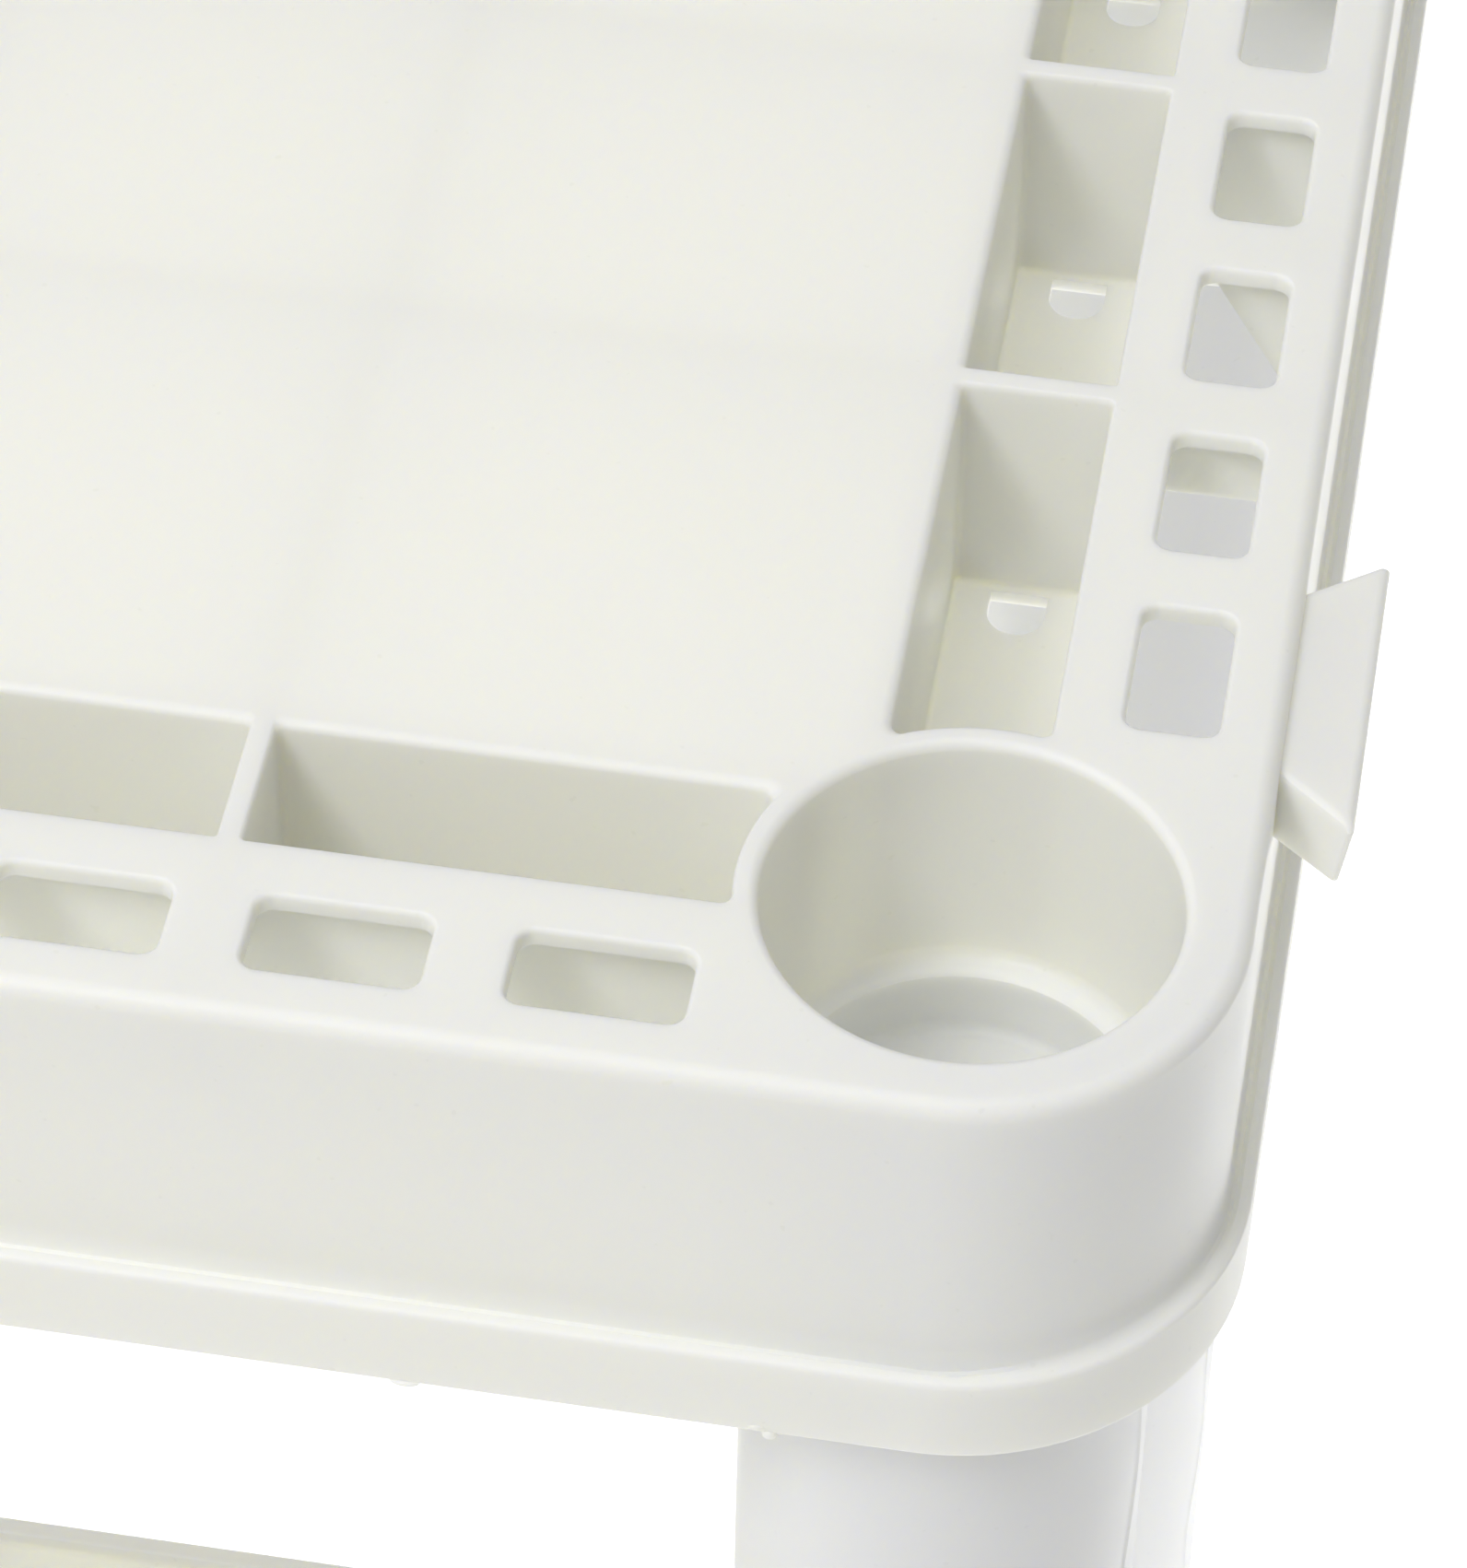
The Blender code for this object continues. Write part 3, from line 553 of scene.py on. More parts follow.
def leg_ring(radius, z, phase, seam):
    """A ring round a leg with its two parting seams; seam is how much of them shows."""
    ring = []
    sways = (seam_sway(z, phase), seam_sway(z, phase + OTHER_SEAM_PHASE))
    for half, sway in enumerate(sways):
        turn, other = SEAM_TURN + math.pi * half, sways[1 - half]
        for distance, share in SEAM_STEPS:
            a = turn + sway + distance / radius
            r = radius + SEAM_PROUD * share * seam
            ring.append((r * math.cos(a), r * math.sin(a), z))
        first = turn + SEAM_STEPS[-1][0] / radius
        last = turn + math.pi + SEAM_STEPS[0][0] / radius
        for i in range(1, RING_GAPS):
            share = i / RING_GAPS
            a = first + (last - first) * share + sway * (1 - share) + other * share
            ring.append((radius * math.cos(a), radius * math.sin(a), z))
    return ring


def leg(corner, phase):
    """A leg tube with softened ends and two wandering parting seams."""
    centre = LEG[corner]
    low, high = LEG_FOOT + 0.004, LEG_HEAD - 0.004
    levels = [(0.0011, LEG_FOOT), (0.0003, LEG_FOOT + 0.0004), (0.0, LEG_FOOT + 0.0012)]
    levels += [(0.0, low + (high - low) * i / LEG_LEVELS) for i in range(LEG_LEVELS + 1)]
    levels += [(0.0, LEG_HEAD - 0.0012), (0.0003, LEG_HEAD - 0.0004), (0.0011, LEG_HEAD)]
    rings = [leg_ring(LEG_OUT_R - inset, z, phase, 1.0) for inset, z in levels]
    for z in (LEG_HEAD, (LEG_HEAD + LEG_FOOT) / 2, LEG_FOOT):
        rings.append(leg_ring(LEG_IN_R, z, phase, 0.0))
    mesh_data = bmesh.new()
    matrix = Matrix.Translation((centre.x, centre.y, 0))
    add_loft(mesh_data, placed(matrix, rings), closed=True)
    made = finished(f"leg_tube_{corner}", mesh_data, 40)
    weighted_normals(made)
    claim(made, "cart_frame", f"leg_{corner}")
    return made


# ---- lower shelf ----
LOW_DECK_Z = 0.120
LOW_LIP_Z = 0.124
LOW_SKIRT_Z = 0.092
LOW_OUT = 0.025
COLLAR_R = 0.047
COLLAR_TOP_Z = 0.150
COLLAR_FOOT_Z = 0.090
COLLAR_FLOOR_T = 0.004
LOW_BEAM_PITCH = 0.0982
STEM_HOLE_R = 0.012


def lower_shelf():
    """A lipped deck on a skirt, with a leg socket at each corner and ribs underneath."""
    inside = LOW_OUT - WALL_T
    section = [(inside - 0.001, LOW_DECK_Z - PLATE_T), (inside, LOW_DECK_Z - PLATE_T - 0.001)]
    section += [(inside, LOW_SKIRT_Z + 0.0006), (inside + 0.0006, LOW_SKIRT_Z)]
    section += corner_arc((LOW_OUT - 0.0012, LOW_SKIRT_Z + 0.0012), 0.0012, -90, 0)
    section += corner_arc((LOW_OUT - 0.0022, LOW_LIP_Z - 0.0022), 0.0022, 0, 90, 5)
    section += corner_arc((LOW_OUT - 0.0058, LOW_LIP_Z - 0.0014), 0.0014, 90, 150, 3)
    section += corner_arc((LOW_OUT - 0.0100, LOW_DECK_Z + 0.0026), 0.0026, -30, -90, 3)
    shell = bmesh.new()
    rings = []
    for out, z in section:
        outline = rounded_rectangle(LEG_X + out, LEG_Y + out, out, 12)
        rings.append([(x, y, z) for x, y in outline])
    add_loft(shell, rings)
    made = finished("lower_shelf_moulding", shell)
    collars, gussets, sockets = bmesh.new(), bmesh.new(), bmesh.new()
    for corner in CORNERS:
        centre = LEG[corner].xy
        profile = [(COLLAR_R - 0.0008, COLLAR_FOOT_Z), (COLLAR_R, COLLAR_FOOT_Z + 0.0008)]
        profile += [(COLLAR_R, LOW_DECK_Z - 0.002), (COLLAR_R + 0.0045, LOW_DECK_Z - 0.0012)]
        profile += [(COLLAR_R + 0.0036, LOW_DECK_Z + 0.0002)]
        profile += [(COLLAR_R + 0.0018, LOW_DECK_Z + 0.0012)]
        profile += [(COLLAR_R + 0.0006, LOW_DECK_Z + 0.0034)]
        profile += corner_arc((COLLAR_R - 0.0020, COLLAR_TOP_Z - 0.0020), 0.0020, 0, 90, 5)
        turned(collars, profile, centre, ROUND_STEPS)
        add_gussets(gussets, corner)
        floor_z = COLLAR_FOOT_Z + COLLAR_FLOOR_T
        hole = [(STEM_HOLE_R, COLLAR_FOOT_Z - 0.01), (STEM_HOLE_R, floor_z)]
        hole += [(SLEEVE_IN_R, floor_z), (SLEEVE_IN_R, COLLAR_TOP_Z - 0.0008)]
        hole += [(SLEEVE_IN_R + 0.0008, COLLAR_TOP_Z + 0.00001)]
        hole += [(SLEEVE_IN_R + 0.0020, COLLAR_TOP_Z + 0.01)]
        turned(sockets, hole, centre, ROUND_STEPS)
    along, across = bmesh.new(), bmesh.new()
    reach_x, reach_y = LEG_X + inside + 0.001, LEG_Y + inside + 0.001
    for i in range(-3, 4):
        y = i * LOW_BEAM_PITCH / 2
        add_box(along, (-reach_x, y - 0.0012, 0.0975), (reach_x, y + 0.0012, LOW_DECK_Z - 0.002))
    for i in range(-6, 7):
        x = i * LOW_BEAM_PITCH / 2
        add_box(across, (x - 0.0012, -reach_y, 0.0985), (x + 0.0012, reach_y, LOW_DECK_Z - 0.0026))
    for ribs in (collars, gussets, along, across):
        boolean(made, ribs, "UNION")
    boolean(made, sockets, "DIFFERENCE")
    smooth(made, 32)
    weighted_normals(made)
    claim(made, "cart_frame", "lower_shelf")
    return made


def add_gussets(mesh_data, corner):
    """Two small triangular ribs that brace a leg socket against the deck."""
    centre = LEG[corner]
    inward_x = 0.0 if centre.x < 0 else math.pi
    inward_y = math.pi / 2 if centre.y < 0 else -math.pi / 2
    for turn in (inward_x, inward_y):
        matrix = Matrix.Translation((centre.x, centre.y, 0)) @ Matrix.Rotation(turn, 4, "Z")
        shape = [(COLLAR_R - 0.003, LOW_DECK_Z - 0.002), (COLLAR_R + 0.020, LOW_DECK_Z - 0.002)]
        shape += [(COLLAR_R + 0.020, LOW_DECK_Z + 0.0015), (COLLAR_R - 0.003, COLLAR_TOP_Z - 0.004)]
        rings = []
        for y, inset in ((-0.0018, 0.0004), (-0.0014, 0.0), (0.0014, 0.0), (0.0018, 0.0004)):
            rings.append([(x - inset, y, z - inset) for x, z in shape])
        add_loft(mesh_data, placed(matrix, rings))


# ---- casters ----
WHEEL_R = 0.0375
TYRE_HALF_W = 0.011
TREAD_T = 0.009
TRAIL = 0.028
FORK_IN = 0.0135
FORK_T = 0.0025
CROWN_LOW, CROWN_HIGH = 0.0790, 0.0853
CROWN_R = 0.0200
RACE_R = 0.0180
KING_R = 0.0050
STEM_R = 0.0055
AXLE_R = 0.0040
PEDAL_X, PEDAL_Z = 0.0500, 0.0760
PEDAL_PIN_R = 0.0030
GAP = 0.0003
BRAKED = ("front_right", "rear_right")


def caster_frame(corner):
    """The caster's own frame: swivel axis at the origin, the wheel on +X, turned to trail to -X."""
    centre = LEG[corner]
    return Matrix.Translation((centre.x, centre.y, 0)) @ Matrix.Rotation(math.pi, 4, "Z")


def declare(piece, corner, body, node):
    """Puts a caster's piece under its leg and claims it."""
    piece.data.transform(caster_frame(corner))
    claim(piece, body, node)


def on_axle(mesh_data, centre=(TRAIL, WHEEL_R)):
    """Lays a shape that was turned about Z along the caster's cross axis."""
    turn = Matrix.Translation((centre[0], 0, centre[1])) @ Matrix.Rotation(-math.pi / 2, 4, "X")
    bmesh.ops.transform(mesh_data, matrix=turn, verts=mesh_data.verts)


def stem_socket(corner):
    """Ribbed plug pressed into the foot of a leg."""
    foot, top, bore = COLLAR_FOOT_Z + COLLAR_FLOOR_T + GAP, 0.132, STEM_R + GAP * 2
    rim = []
    for i in range(5):
        z = foot + 0.004 + i * 0.0065
        rim += [(SPIGOT_R - 0.0012, z), (SPIGOT_R, z + 0.0008)]
        rim += [(SPIGOT_R, z + 0.0022), (SPIGOT_R - 0.0012, z + 0.003)]
    profile = [(bore + 0.0008, foot), (SPIGOT_R - 0.0008, foot), (SPIGOT_R, foot + 0.0008), *rim]
    profile += [(SPIGOT_R - 0.002, top), (bore + 0.0008, top)]
    profile += [(bore, top - 0.0008), (bore, foot + 0.0008)]
    plug = bmesh.new()
    turned(plug, profile, steps=72, hollow=True)
    made = finished(f"socket_plug_{corner}", plug)
    declare(made, corner, "cart_frame", f"stem_socket_{corner}")
    return made


def stem(corner):
    """Stem with a grip groove, the fixed race with its balls, and the riveted king pin."""
    low, high, head = CROWN_HIGH + GAP, COLLAR_FOOT_Z - GAP, CROWN_LOW - GAP
    pin = bmesh.new()
    profile = [(0.0020, head - 0.0028), (0.0055, head - 0.0026), (0.0078, head - 0.0018)]
    profile += [(0.0085, head - 0.0009), (0.0085, head - 0.0001), (0.0080, head), (KING_R, head)]
    profile += [(KING_R, low), (0.0150, low), (0.0153, low + 0.0002), (0.0153, low + 0.0021)]
    profile += [(0.0158, low + 0.0025), (RACE_R - 0.0004, low + 0.0025), (RACE_R, low + 0.0029)]
    profile += [(RACE_R, high - 0.0005), (RACE_R - 0.0005, high)]
    profile += [(0.0120, high), (0.0112, high - 0.0002)]
    profile += [(STEM_R + 0.0008, high - 0.0002), (STEM_R, high + 0.0008), (STEM_R, 0.1150)]
    profile += [(STEM_R - 0.0009, 0.1155), (STEM_R - 0.0009, 0.1180), (STEM_R, 0.1185)]
    profile += [(STEM_R, 0.1262), (STEM_R - 0.0006, 0.1273), (STEM_R - 0.0015, 0.128)]
    turned(pin, profile, steps=64)
    for i in range(20):
        a = math.tau * i / 20
        place = Matrix.Translation((0.0167 * math.cos(a), 0.0167 * math.sin(a), low + 0.00125))
        bmesh.ops.create_icosphere(pin, subdivisions=2, radius=0.0012, matrix=place)
    made = finished(f"stem_and_race_{corner}", pin)
    declare(made, corner, "cart_frame", f"stem_{corner}")
    return made


def plate_rings(outline, low, high, edge):
    """The rings of a pressed plate between two Y values, its edges softened on both faces."""
    near = [(low, edge), (low + edge * 0.4, edge * 0.3), (low + edge, 0.0)]
    far = [(high - edge, 0.0), (high - edge * 0.4, edge * 0.3), (high, edge)]
    return [[(x, y, z) for x, z in offset_outline(outline, -inset)] for y, inset in near + far]


def cheek_outline(braked):
    """The fork's cheek seen from the side: it narrows from the crown to a round end at the axle."""
    end = corner_arc((TRAIL, WHEEL_R), 0.0092, -158, -22, 14)
    top = CROWN_LOW + 0.0024
    tail = [(0.0392, 0.0655), (0.0400, 0.0700), (0.0400, top)]
    if braked:
        tail = [(0.0395, 0.0610), (PEDAL_X - 0.001, PEDAL_Z - 0.0075)]
        tail += corner_arc((PEDAL_X, PEDAL_Z), 0.0062, -70, 60, 8)
        tail += [(PEDAL_X - 0.004, top)]
    front = [(-0.0165, CROWN_LOW - 0.0040), (-0.0150, CROWN_LOW - 0.0068)]
    return [*front, *end, *tail, (-0.0165, top)]


def fork(corner):
    """Pressed steel: two cheeks and a roof, under a crown with a rolled bearing seat."""
    braked = corner in BRAKED
    block = bmesh.new()
    width = FORK_IN + FORK_T
    add_loft(block, plate_rings(cheek_outline(braked), -width, width, 0.0009))
    made = finished(f"fork_body_{corner}", block)
    crown = bmesh.new()
    profile = [(CROWN_R - 0.0012, CROWN_LOW + 0.0004), (CROWN_R - 0.0002, CROWN_LOW + 0.0008)]
    profile += [(CROWN_R, CROWN_LOW + 0.0018), (CROWN_R - 0.0002, CROWN_HIGH - 0.0030)]
    profile += corner_arc((CROWN_R - 0.0026, CROWN_HIGH - 0.0026), 0.0024, 5, 90, 5)
    profile += [(0.0148, CROWN_HIGH - 0.0002), (0.0140, CROWN_HIGH)]
    turned(crown, profile, steps=72)
    boolean(made, crown, "UNION")
    inside, holes = bmesh.new(), bmesh.new()
    space = [(-0.05, 0.0), (0.09, 0.0), (0.09, 0.1)]
    space += [(0.0360, 0.1), (0.0360, CROWN_LOW), (-0.05, CROWN_LOW)]
    add_loft(inside, [[(x, y, z) for x, z in space] for y in (-FORK_IN, FORK_IN)])
    turned(holes, [(KING_R + GAP * 2, 0.06), (KING_R + GAP * 2, 0.10)], steps=32)
    cross = [((TRAIL, WHEEL_R), AXLE_R + GAP * 1.5)]
    if braked:
        cross.append(((PEDAL_X, PEDAL_Z), PEDAL_PIN_R + GAP * 1.5))
    for centre, radius in cross:
        ring = corner_arc(centre, radius, 0, 348, 29)
        add_loft(holes, [[(x, y, z) for x, z in ring] for y in (-0.03, 0.03)])
    boolean(made, inside, "DIFFERENCE")
    boolean(made, holes, "DIFFERENCE")
    smooth(made, 30)
    weighted_normals(made)
    declare(made, corner, f"caster_{corner}", f"fork_{corner}")
    return made


def bolt_ring(radius, z):
    """A round ring that joins to a hexagon's."""
    return circle(radius, z, steps=HEX_STEPS)


def hexagon(across_flats, z, inset=0.0):
    """A hexagon's ring, cut back to a circle where inset asks for chamfered corners."""
    corner_r = across_flats / math.sqrt(3)
    ring = []
    for i in range(HEX_STEPS):
        a = math.tau * i / HEX_STEPS
        flat = (a + math.pi / 6) % (math.pi / 3) - math.pi / 6
        r = min(across_flats / 2 / math.cos(flat), corner_r - inset)
        ring.append((r * math.cos(a), r * math.sin(a), z))
    return ring


def thread_rings(radius, start, end, pitch):
    """A thread as a row of narrow crests, with no lead."""
    rings = []
    count = round((end - start) / pitch)
    for i in range(count):
        z = start + i * pitch
        rings += [bolt_ring(radius - 0.00045, z), bolt_ring(radius, z + pitch * 0.45)]
        rings += [bolt_ring(radius, z + pitch * 0.55)]
    return rings


def axle(corner):
    """Hexagon-headed bolt; the turned thread shows past the nut."""
    outer = FORK_IN + FORK_T + GAP
    bolt = bmesh.new()
    flats = 0.0122
    rings = [bolt_ring(0.0030, -outer - 0.0040), bolt_ring(0.0049, -outer - 0.0044)]
    rings += [hexagon(flats, -outer - 0.0042, 0.0009), hexagon(flats, -outer - 0.0034)]
    rings += [hexagon(flats, -outer - 0.0010), bolt_ring(0.0068, -outer - 0.0009)]
    rings += [bolt_ring(0.0070, -outer - 0.0007), bolt_ring(0.0070, -outer)]
    rings += [bolt_ring(AXLE_R, -outer), bolt_ring(AXLE_R, outer - 0.001)]
    rings += thread_rings(AXLE_R, outer, outer + 0.0075, 0.00075)
    rings += [bolt_ring(AXLE_R - 0.0004, outer + 0.0076)]
    rings += [bolt_ring(AXLE_R - 0.0010, outer + 0.0083)]
    add_loft(bolt, rings)
    on_axle(bolt)
    made = finished(f"axle_bolt_{corner}", bolt, 30)
    declare(made, corner, f"caster_{corner}", f"axle_{corner}")
    return made


def axle_nut(corner):
    """Chamfered hexagon nut with a round locking collar."""
    near = FORK_IN + FORK_T + GAP
    nut = bmesh.new()
    flats, bore = 0.0128, AXLE_R + GAP * 1.5
    rings = [bolt_ring(bore + 0.0003, near), bolt_ring(0.0061, near)]
    rings += [hexagon(flats, near + 0.0003, 0.0008), hexagon(flats, near + 0.0010)]
    rings += [hexagon(flats, near + 0.0036), hexagon(flats, near + 0.0043, 0.0008)]
    rings += [bolt_ring(0.0058, near + 0.0046), bolt_ring(0.0057, near + 0.0056)]
    rings += [bolt_ring(0.0053, near + 0.0060), bolt_ring(bore + 0.0003, near + 0.0060)]
    rings += [bolt_ring(bore, near + 0.0057), bolt_ring(bore, near + 0.0003)]
    add_loft(nut, rings, closed=True)
    on_axle(nut)
    made = finished(f"lock_nut_{corner}", nut, 30)
    declare(made, corner, f"caster_{corner}", f"axle_nut_{corner}")
    return made


def hub(corner):
    """Moulded wheel centre: boss, dished web, rim and eight ribs on each face."""
    bore, boss, web = AXLE_R + 0.0005, 0.0128, 0.0026
    rim_in, rim_out = WHEEL_R - TREAD_T - 0.0035, WHEEL_R - TREAD_T - GAP
    half = TYRE_HALF_W - 0.0008
    side = [(bore, boss - 0.0005), (bore + 0.0005, boss), (0.0090, boss), (0.0096, boss - 0.0006)]
    side += [(0.0101, web + 0.0022), (0.0108, web + 0.0006), (0.0122, web), (rim_in - 0.0022, web)]
    side += [(rim_in - 0.0007, web + 0.0007), (rim_in, web + 0.0022)]
    side += [(rim_in + 0.0003, half - 0.0004), (rim_in + 0.0008, half)]
    side += [(rim_out - 0.0005, half), (rim_out, half - 0.0005)]
    mesh_data = bmesh.new()
    side += [(r, -y) for r, y in reversed(side)]
    turned(mesh_data, side, steps=ROUND_STEPS, hollow=True)
    made = finished(f"wheel_centre_{corner}", mesh_data)
    ribs = bmesh.new()
    for i in range(8):
        turn = Matrix.Rotation(math.tau * i / 8, 4, "Z")
        near, far = 0.0088, rim_in + 0.0006
        plan = [(near, -0.0010), (far, -0.0010), (far, 0.0010), (near, 0.0010)]
        levels = [(-half + 0.0012, 0.0004), (-half + 0.0016, 0.0)]
        levels += [(half - 0.0016, 0.0), (half - 0.0012, 0.0004)]
        rings = [[(x, y - math.copysign(d, y), z) for x, y in plan] for z, d in levels]
        add_loft(ribs, placed(turn, rings))
    boolean(made, ribs, "UNION")
    made.data.transform(
        Matrix.Translation((TRAIL, 0, WHEEL_R)) @ Matrix.Rotation(-math.pi / 2, 4, "X")
    )
    smooth(made, 30)
    weighted_normals(made)
    declare(made, corner, f"wheel_{corner}", f"wheel_hub_{corner}")
    return made


def tread(corner):
    """Rubber tyre with soft shoulders, two tread grooves and a moulded rib on each side wall."""
    inner = WHEEL_R - TREAD_T
    w = TYRE_HALF_W
    half = [(inner, -w + 0.0004), (inner + 0.0004, -w), (inner + 0.0022, -w)]
    half += [(inner + 0.0027, -w - 0.0002), (inner + 0.0034, -w - 0.0002), (inner + 0.0039, -w)]
    half += [(WHEEL_R - 0.0036, -w), (WHEEL_R - 0.0022, -w + 0.0006)]
    half += [(WHEEL_R - 0.0011, -w + 0.0019), (WHEEL_R - 0.0006, -w + 0.0038)]
    half += [(WHEEL_R - 0.0004, -0.0052), (WHEEL_R - 0.0012, -0.0049), (WHEEL_R - 0.0012, -0.0042)]
    half += [(WHEEL_R - 0.0002, -0.0039), (WHEEL_R, -0.0008)]
    mesh_data = bmesh.new()
    turned(mesh_data, half + [(r, -y) for r, y in reversed(half)], steps=120, hollow=True)
    on_axle(mesh_data)
    made = finished(f"tyre_{corner}", mesh_data)
    declare(made, corner, f"wheel_{corner}", f"tread_{corner}")
    return made


def brake_pedal(corner):
    """Foot pedal with grip ribs across its top, its pivot barrel and its cross pin."""
    half = FORK_IN - 0.0008
    side = [(-0.0045, -0.0025), (-0.0015, -0.0065), (0.0020, -0.0075), (0.0070, -0.0045)]
    side += [(0.0340, -0.0125), (0.0360, -0.0100), (0.0345, -0.0075), (0.0090, 0.0033)]
    side += [(0.0020, 0.0050), (-0.0040, 0.0030)]
    outline = rounded_outline([(x + PEDAL_X, z + PEDAL_Z, 0.0009) for x, z in side], 3)
    lever = bmesh.new()
    add_loft(lever, plate_rings(outline, -half, half, 0.0008))
    made = finished(f"pedal_lever_{corner}", lever)
    ribs = bmesh.new()
    slope = math.atan2(-0.0108, 0.0255)
    for i in range(6):
        x = PEDAL_X + 0.0120 + i * 0.0036
        z = PEDAL_Z + 0.0033 + (x - PEDAL_X - 0.0090) * math.tan(slope)
        place = Matrix.Translation((x, 0, z)) @ Matrix.Rotation(-slope, 4, "Y")
        end = half - 0.0015
        plan = [(-0.0007, -end), (0.0007, -end), (0.0007, end), (-0.0007, end)]
        rings = []
        for level, inset in ((-0.001, 0.0), (0.0004, 0.0), (0.0007, 0.0003)):
            ring = [(x - math.copysign(inset, x), y - math.copysign(inset, y)) for x, y in plan]
            rings.append([(x, y, level) for x, y in ring])
        add_loft(ribs, placed(place, rings))
    pin = bmesh.new()
    ends = [(PEDAL_PIN_R - 0.0004, -0.0172), (PEDAL_PIN_R, -0.0168)]
    ends += [(PEDAL_PIN_R, 0.0168), (PEDAL_PIN_R - 0.0004, 0.0172)]
    turned(pin, ends, steps=40)
    on_axle(pin, (PEDAL_X, PEDAL_Z))
    boolean(made, ribs, "UNION")
    boolean(made, pin, "UNION")
    smooth(made, 30)
    weighted_normals(made)
    declare(made, corner, f"pedal_{corner}", f"brake_pedal_{corner}")
    return made


# ---- materials ----
def preset(node, **values):
    """Sets a node's inputs; an underscore stands for the space in an input's name."""
    for name, value in values.items():
        node.inputs[name.replace("_", " ")].default_value = value


class Look:
    """A Principled material with helpers for the node chains that the looks share."""

    def __init__(self, name, **constants):
        self.made = bpy.data.materials.new(name)
        self.made.use_nodes = True
        self.tree = self.made.node_tree
        self.shader = self.tree.nodes["Principled BSDF"]
        self.place = self.tree.nodes.new("ShaderNodeTexCoord").outputs["Object"]
        preset(self.shader, **constants)

    def link(self, start, end):
        self.tree.links.new(start, end)

    def noise(self, scale, detail=3.0, roughness=0.5, distortion=0.0, stretch=None):
        texture = self.tree.nodes.new("ShaderNodeTexNoise")
        preset(texture, Scale=scale, Detail=detail, Roughness=roughness, Distortion=distortion)
        place = self.place
        if stretch:
            mapping = self.tree.nodes.new("ShaderNodeMapping")
            preset(mapping, Scale=stretch)
            self.link(place, mapping.inputs["Vector"])
            place = mapping.outputs["Vector"]
        self.link(place, texture.inputs["Vector"])
        return texture.outputs["Fac"]

    def remap(self, value, low, high, out_low, out_high):
        node = self.tree.nodes.new("ShaderNodeMapRange")
        preset(node, From_Min=low, From_Max=high, To_Min=out_low, To_Max=out_high)
        self.link(value, node.inputs["Value"])
        return node.outputs["Result"]

    def mix(self, factor, first, second):
        node = self.tree.nodes.new("ShaderNodeMix")
        node.data_type = "RGBA"
        colour_in = [socket for socket in node.inputs if socket.type == "RGBA"]
        for socket, value in zip(colour_in, (first, second)):
            if isinstance(value, tuple):
                socket.default_value = (*value, 1.0)
            else:
                self.link(value, socket)
        self.link(factor, node.inputs["Factor"])
        return next(socket for socket in node.outputs if socket.type == "RGBA")

    def multiply(self, value, factor):
        node = self.tree.nodes.new("ShaderNodeMath")
        node.operation = "MULTIPLY"
        self.link(value, node.inputs[0])
        node.inputs[1].default_value = factor
        return node.outputs["Value"]

    def bump(self, height, distance, strength=1.0, under=None):
        node = self.tree.nodes.new("ShaderNodeBump")
        preset(node, Distance=distance, Strength=strength)
        self.link(height, node.inputs["Height"])
        if under:
            self.link(under, node.inputs["Normal"])
        return node.outputs["Normal"]

    def colour(self, output):
        self.link(output, self.shader.inputs["Base Color"])

    def roughness(self, output):
        self.link(output, self.shader.inputs["Roughness"])

    def normal(self, output):
        self.link(output, self.shader.inputs["Normal"])

    def dress(self, *pieces):
        for piece in pieces:
            piece.data.materials.clear()
            piece.data.materials.append(self.made)


def moulded_off_white(name, light, dark, streak):
    """Satin polyolefin: faint flow marks, a broad mottle, sink marks and a fine moulded grain."""
    look = Look(name, Specular_IOR_Level=0.32, Subsurface_Weight=1.0, Subsurface_Scale=0.004)
    preset(look.shader, Subsurface_Radius=(1.0, 0.95, 0.70))
    mottle = look.remap(look.noise(7.0, 4.0, 0.55, 0.8), 0.35, 0.65, 0.0, 1.0)
    flow = look.noise(16.0, 5.0, 0.6, 2.2, stretch=(1.0, 1.0, 0.45))
    flow_lines = look.remap(flow, 0.47, 0.56, 0.0, 1.0)
    base = look.mix(mottle, light, dark)
    base = look.mix(look.multiply(flow_lines, 0.35), base, streak)
    specks = look.remap(look.noise(420.0, 1.0, 0.4), 0.76, 0.80, 0.0, 0.5)
    base = look.mix(specks, base, tuple(c * 0.93 for c in dark))
    look.colour(base)
    look.roughness(look.remap(look.noise(38.0, 4.0, 0.6, 0.6), 0.3, 0.7, 0.34, 0.46))
    grain = look.bump(look.noise(1500.0, 2.0, 0.5), 0.00003, 0.35)
    sink = look.bump(look.noise(14.0, 2.0, 0.4), 0.0012, 0.35, under=grain)
    look.normal(sink)
    return look


shelf_look = moulded_off_white(
    "shelf_plastic", (0.955, 0.958, 0.898), (0.951, 0.954, 0.893), (0.960, 0.963, 0.906)
)
leg_look = moulded_off_white(
    "leg_plastic", (0.955, 0.955, 0.930), (0.950, 0.950, 0.925), (0.960, 0.960, 0.936)
)

nylon_look = Look("socket_plastic", Specular_IOR_Level=0.4)
nylon_base = nylon_look.mix(nylon_look.noise(60.0), (0.018, 0.018, 0.020), (0.030, 0.030, 0.033))
nylon_look.colour(nylon_base)
nylon_look.roughness(nylon_look.remap(nylon_look.noise(180.0, 3.0), 0.3, 0.7, 0.42, 0.58))
nylon_look.normal(nylon_look.bump(nylon_look.noise(2200.0, 2.0), 0.00003, 0.6))

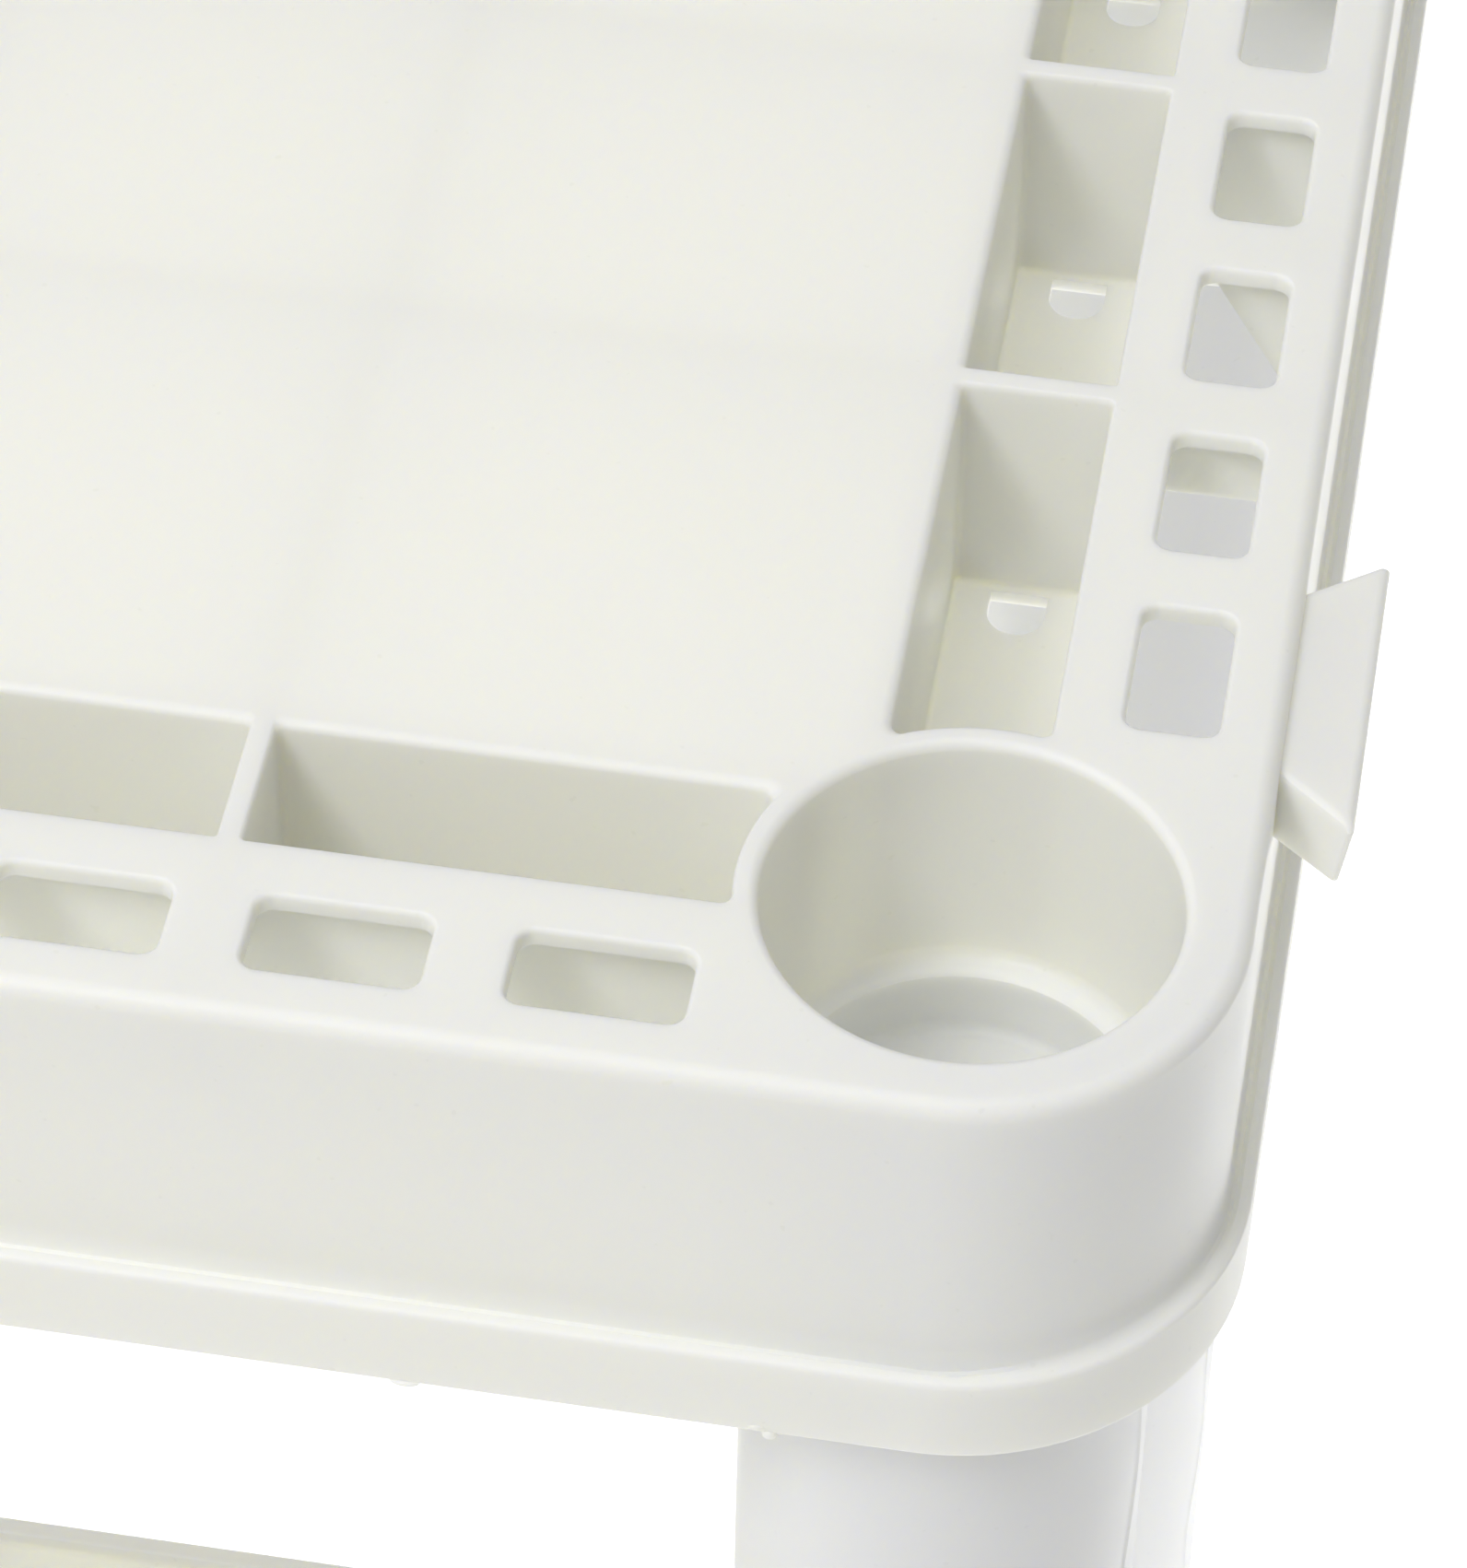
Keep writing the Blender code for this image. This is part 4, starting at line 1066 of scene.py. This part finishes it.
pedal_look = Look("pedal_plastic", Specular_IOR_Level=0.4)
scuff = pedal_look.noise(120.0, 6.0, 0.7, 0.5, stretch=(1.0, 0.25, 1.0))
scuff = pedal_look.remap(scuff, 0.52, 0.62, 0.0, 0.7)
pedal_look.colour(pedal_look.mix(scuff, (0.022, 0.022, 0.024), (0.060, 0.059, 0.057)))
pedal_look.roughness(pedal_look.remap(pedal_look.noise(240.0, 3.0), 0.3, 0.7, 0.45, 0.62))
pedal_look.normal(pedal_look.bump(pedal_look.noise(1600.0, 2.0), 0.00004, 0.7))

zinc_look = Look("zinc_plate", Metallic=1.0)
spangle = zinc_look.noise(90.0, 5.0, 0.6, 0.4)
zinc_patches = zinc_look.remap(spangle, 0.35, 0.65, 0.0, 1.0)
zinc_base = zinc_look.mix(zinc_patches, (0.52, 0.53, 0.55), (0.64, 0.64, 0.63))
stain = zinc_look.remap(zinc_look.noise(22.0, 4.0, 0.6, 1.5), 0.55, 0.70, 0.0, 0.45)
zinc_look.colour(zinc_look.mix(stain, zinc_base, (0.56, 0.53, 0.44)))
zinc_look.roughness(zinc_look.remap(spangle, 0.3, 0.7, 0.22, 0.36))
zinc_look.normal(zinc_look.bump(zinc_look.noise(700.0, 4.0, 0.6), 0.00003, 0.5))

hub_look = Look("hub_plastic", Specular_IOR_Level=0.45)
hub_mottle = hub_look.noise(30.0, 4.0, 0.6, 1.0)
hub_look.colour(hub_look.mix(hub_mottle, (0.40, 0.40, 0.39), (0.47, 0.47, 0.45)))
hub_look.roughness(hub_look.remap(hub_look.noise(90.0, 3.0), 0.3, 0.7, 0.38, 0.52))
hub_look.normal(hub_look.bump(hub_look.noise(1300.0, 2.0), 0.00003, 0.5))

rubber_look = Look("grey_rubber", Specular_IOR_Level=0.3)
dust = rubber_look.remap(rubber_look.noise(75.0, 6.0, 0.65, 0.4), 0.45, 0.70, 0.0, 0.55)
rubber_look.colour(rubber_look.mix(dust, (0.105, 0.105, 0.108), (0.180, 0.176, 0.168)))
rubber_look.roughness(rubber_look.remap(rubber_look.noise(160.0, 4.0), 0.3, 0.7, 0.62, 0.82))
rubber_look.normal(rubber_look.bump(rubber_look.noise(2600.0, 3.0, 0.6), 0.00005, 0.6))


# ---- the cart ----
shelf = top_shelf()
claim(shelf, "cart_frame", "top_shelf")
shelf_look.dress(shelf, lower_shelf())
for index, corner in enumerate(CORNERS):
    leg_look.dress(leg(corner, index * 1.7))
    nylon_look.dress(stem_socket(corner))
    zinc_look.dress(stem(corner), fork(corner), axle(corner), axle_nut(corner))
    hub_look.dress(hub(corner))
    rubber_look.dress(tread(corner))
    if corner in BRAKED:
        pedal_look.dress(brake_pedal(corner))


# ---- camera, light and floor ----
def make_floor():
    """A pale floor that glows a little, more so in a soft pool under and behind the cart."""
    grid = bmesh.new()
    bmesh.ops.create_grid(grid, x_segments=8, y_segments=8, size=24.0)
    mesh = bpy.data.meshes.new("floor")
    grid.to_mesh(mesh)
    grid.free()
    floor = bpy.data.objects.new("floor", mesh)
    bpy.context.scene.collection.objects.link(floor)
    look = Look("floor", Roughness=0.9, Specular_IOR_Level=0.1, Emission_Color=(1, 1, 1, 1))
    away = look.tree.nodes.new("ShaderNodeVectorMath")
    away.operation = "DISTANCE"
    away.inputs[1].default_value = (0.26, 0.70, 0.0)
    look.link(look.place, away.inputs[0])
    glow = look.remap(away.outputs["Value"], 0.70, 1.75, 1.15, 0.10)
    look.link(glow, look.shader.inputs["Emission Strength"])
    look.colour(look.mix(look.noise(1.5, 3.0), (0.87, 0.87, 0.855), (0.88, 0.88, 0.865)))
    look.dress(floor)


def make_light(name, place, aim, size, power):
    """A round softbox."""
    data = bpy.data.lights.new(name, "AREA")
    data.shape = "DISK"
    data.size = size
    data.energy = power
    lamp = bpy.data.objects.new(name, data)
    bpy.context.scene.collection.objects.link(lamp)
    lamp.location = place
    lamp.rotation_euler = (Vector(aim) - Vector(place)).to_track_quat("-Z", "Y").to_euler()


def make_world(bright_side, dim, bright):
    """White surroundings, brighter towards one side."""
    world = bpy.data.worlds.new("world")
    world.use_nodes = True
    nodes, links = world.node_tree.nodes, world.node_tree.links
    background = nodes["Background"]
    preset(background, Color=(1.0, 1.0, 0.975, 1.0))
    around = nodes.new("ShaderNodeTexCoord")
    facing = nodes.new("ShaderNodeVectorMath")
    facing.operation = "DOT_PRODUCT"
    facing.inputs[1].default_value = Vector(bright_side).normalized()
    spread = nodes.new("ShaderNodeMapRange")
    preset(spread, From_Min=-0.7, From_Max=0.9, To_Min=dim, To_Max=bright)
    links.new(around.outputs["Generated"], facing.inputs[0])
    links.new(facing.outputs["Value"], spread.inputs["Value"])
    links.new(spread.outputs["Result"], background.inputs["Strength"])
    bpy.context.scene.world = world


def make_camera():
    """Looks down on the front right corner."""
    azimuth, elevation, roll = math.radians(-8.55), math.radians(-46.19), math.radians(1.19)
    flat = math.cos(elevation)
    aim = Vector((math.sin(azimuth) * flat, math.cos(azimuth) * flat, math.sin(elevation)))
    level = aim.cross(Vector((0, 0, 1))).normalized()
    right = Matrix.Rotation(-roll, 3, aim) @ level
    up = right.cross(aim)
    data = bpy.data.cameras.new("camera")
    data.sensor_width = 36.0
    data.lens = 150.8
    data.clip_start, data.clip_end = 0.05, 60.0
    camera = bpy.data.objects.new("camera", data)
    bpy.context.scene.collection.objects.link(camera)
    corner = Vector((LEG_X, -LEG_Y, TOP_Z))
    away = Vector((0.07948, -0.83141, 0.89872))
    turn = Matrix((right, up, -aim)).transposed().to_4x4()
    camera.matrix_world = Matrix.Translation(corner + away) @ turn
    bpy.context.scene.camera = camera


bpy.context.scene.view_settings.view_transform = "Standard"
make_world((-0.75, -0.25, 0.6), 0.12, 0.62)
make_light("overhead", (0.0, -0.5, 3.6), (0.1, 0.0, 0.9), 2.2, 14.0)
make_light("key", (-0.95, -1.9, 3.43), (0.2, 0.0, 0.9), 1.0, 34.0)
make_light("side", (3.2, 1.4, 1.5), (0.3, 0.0, 0.8), 1.6, 11.0)
make_floor()
make_camera()
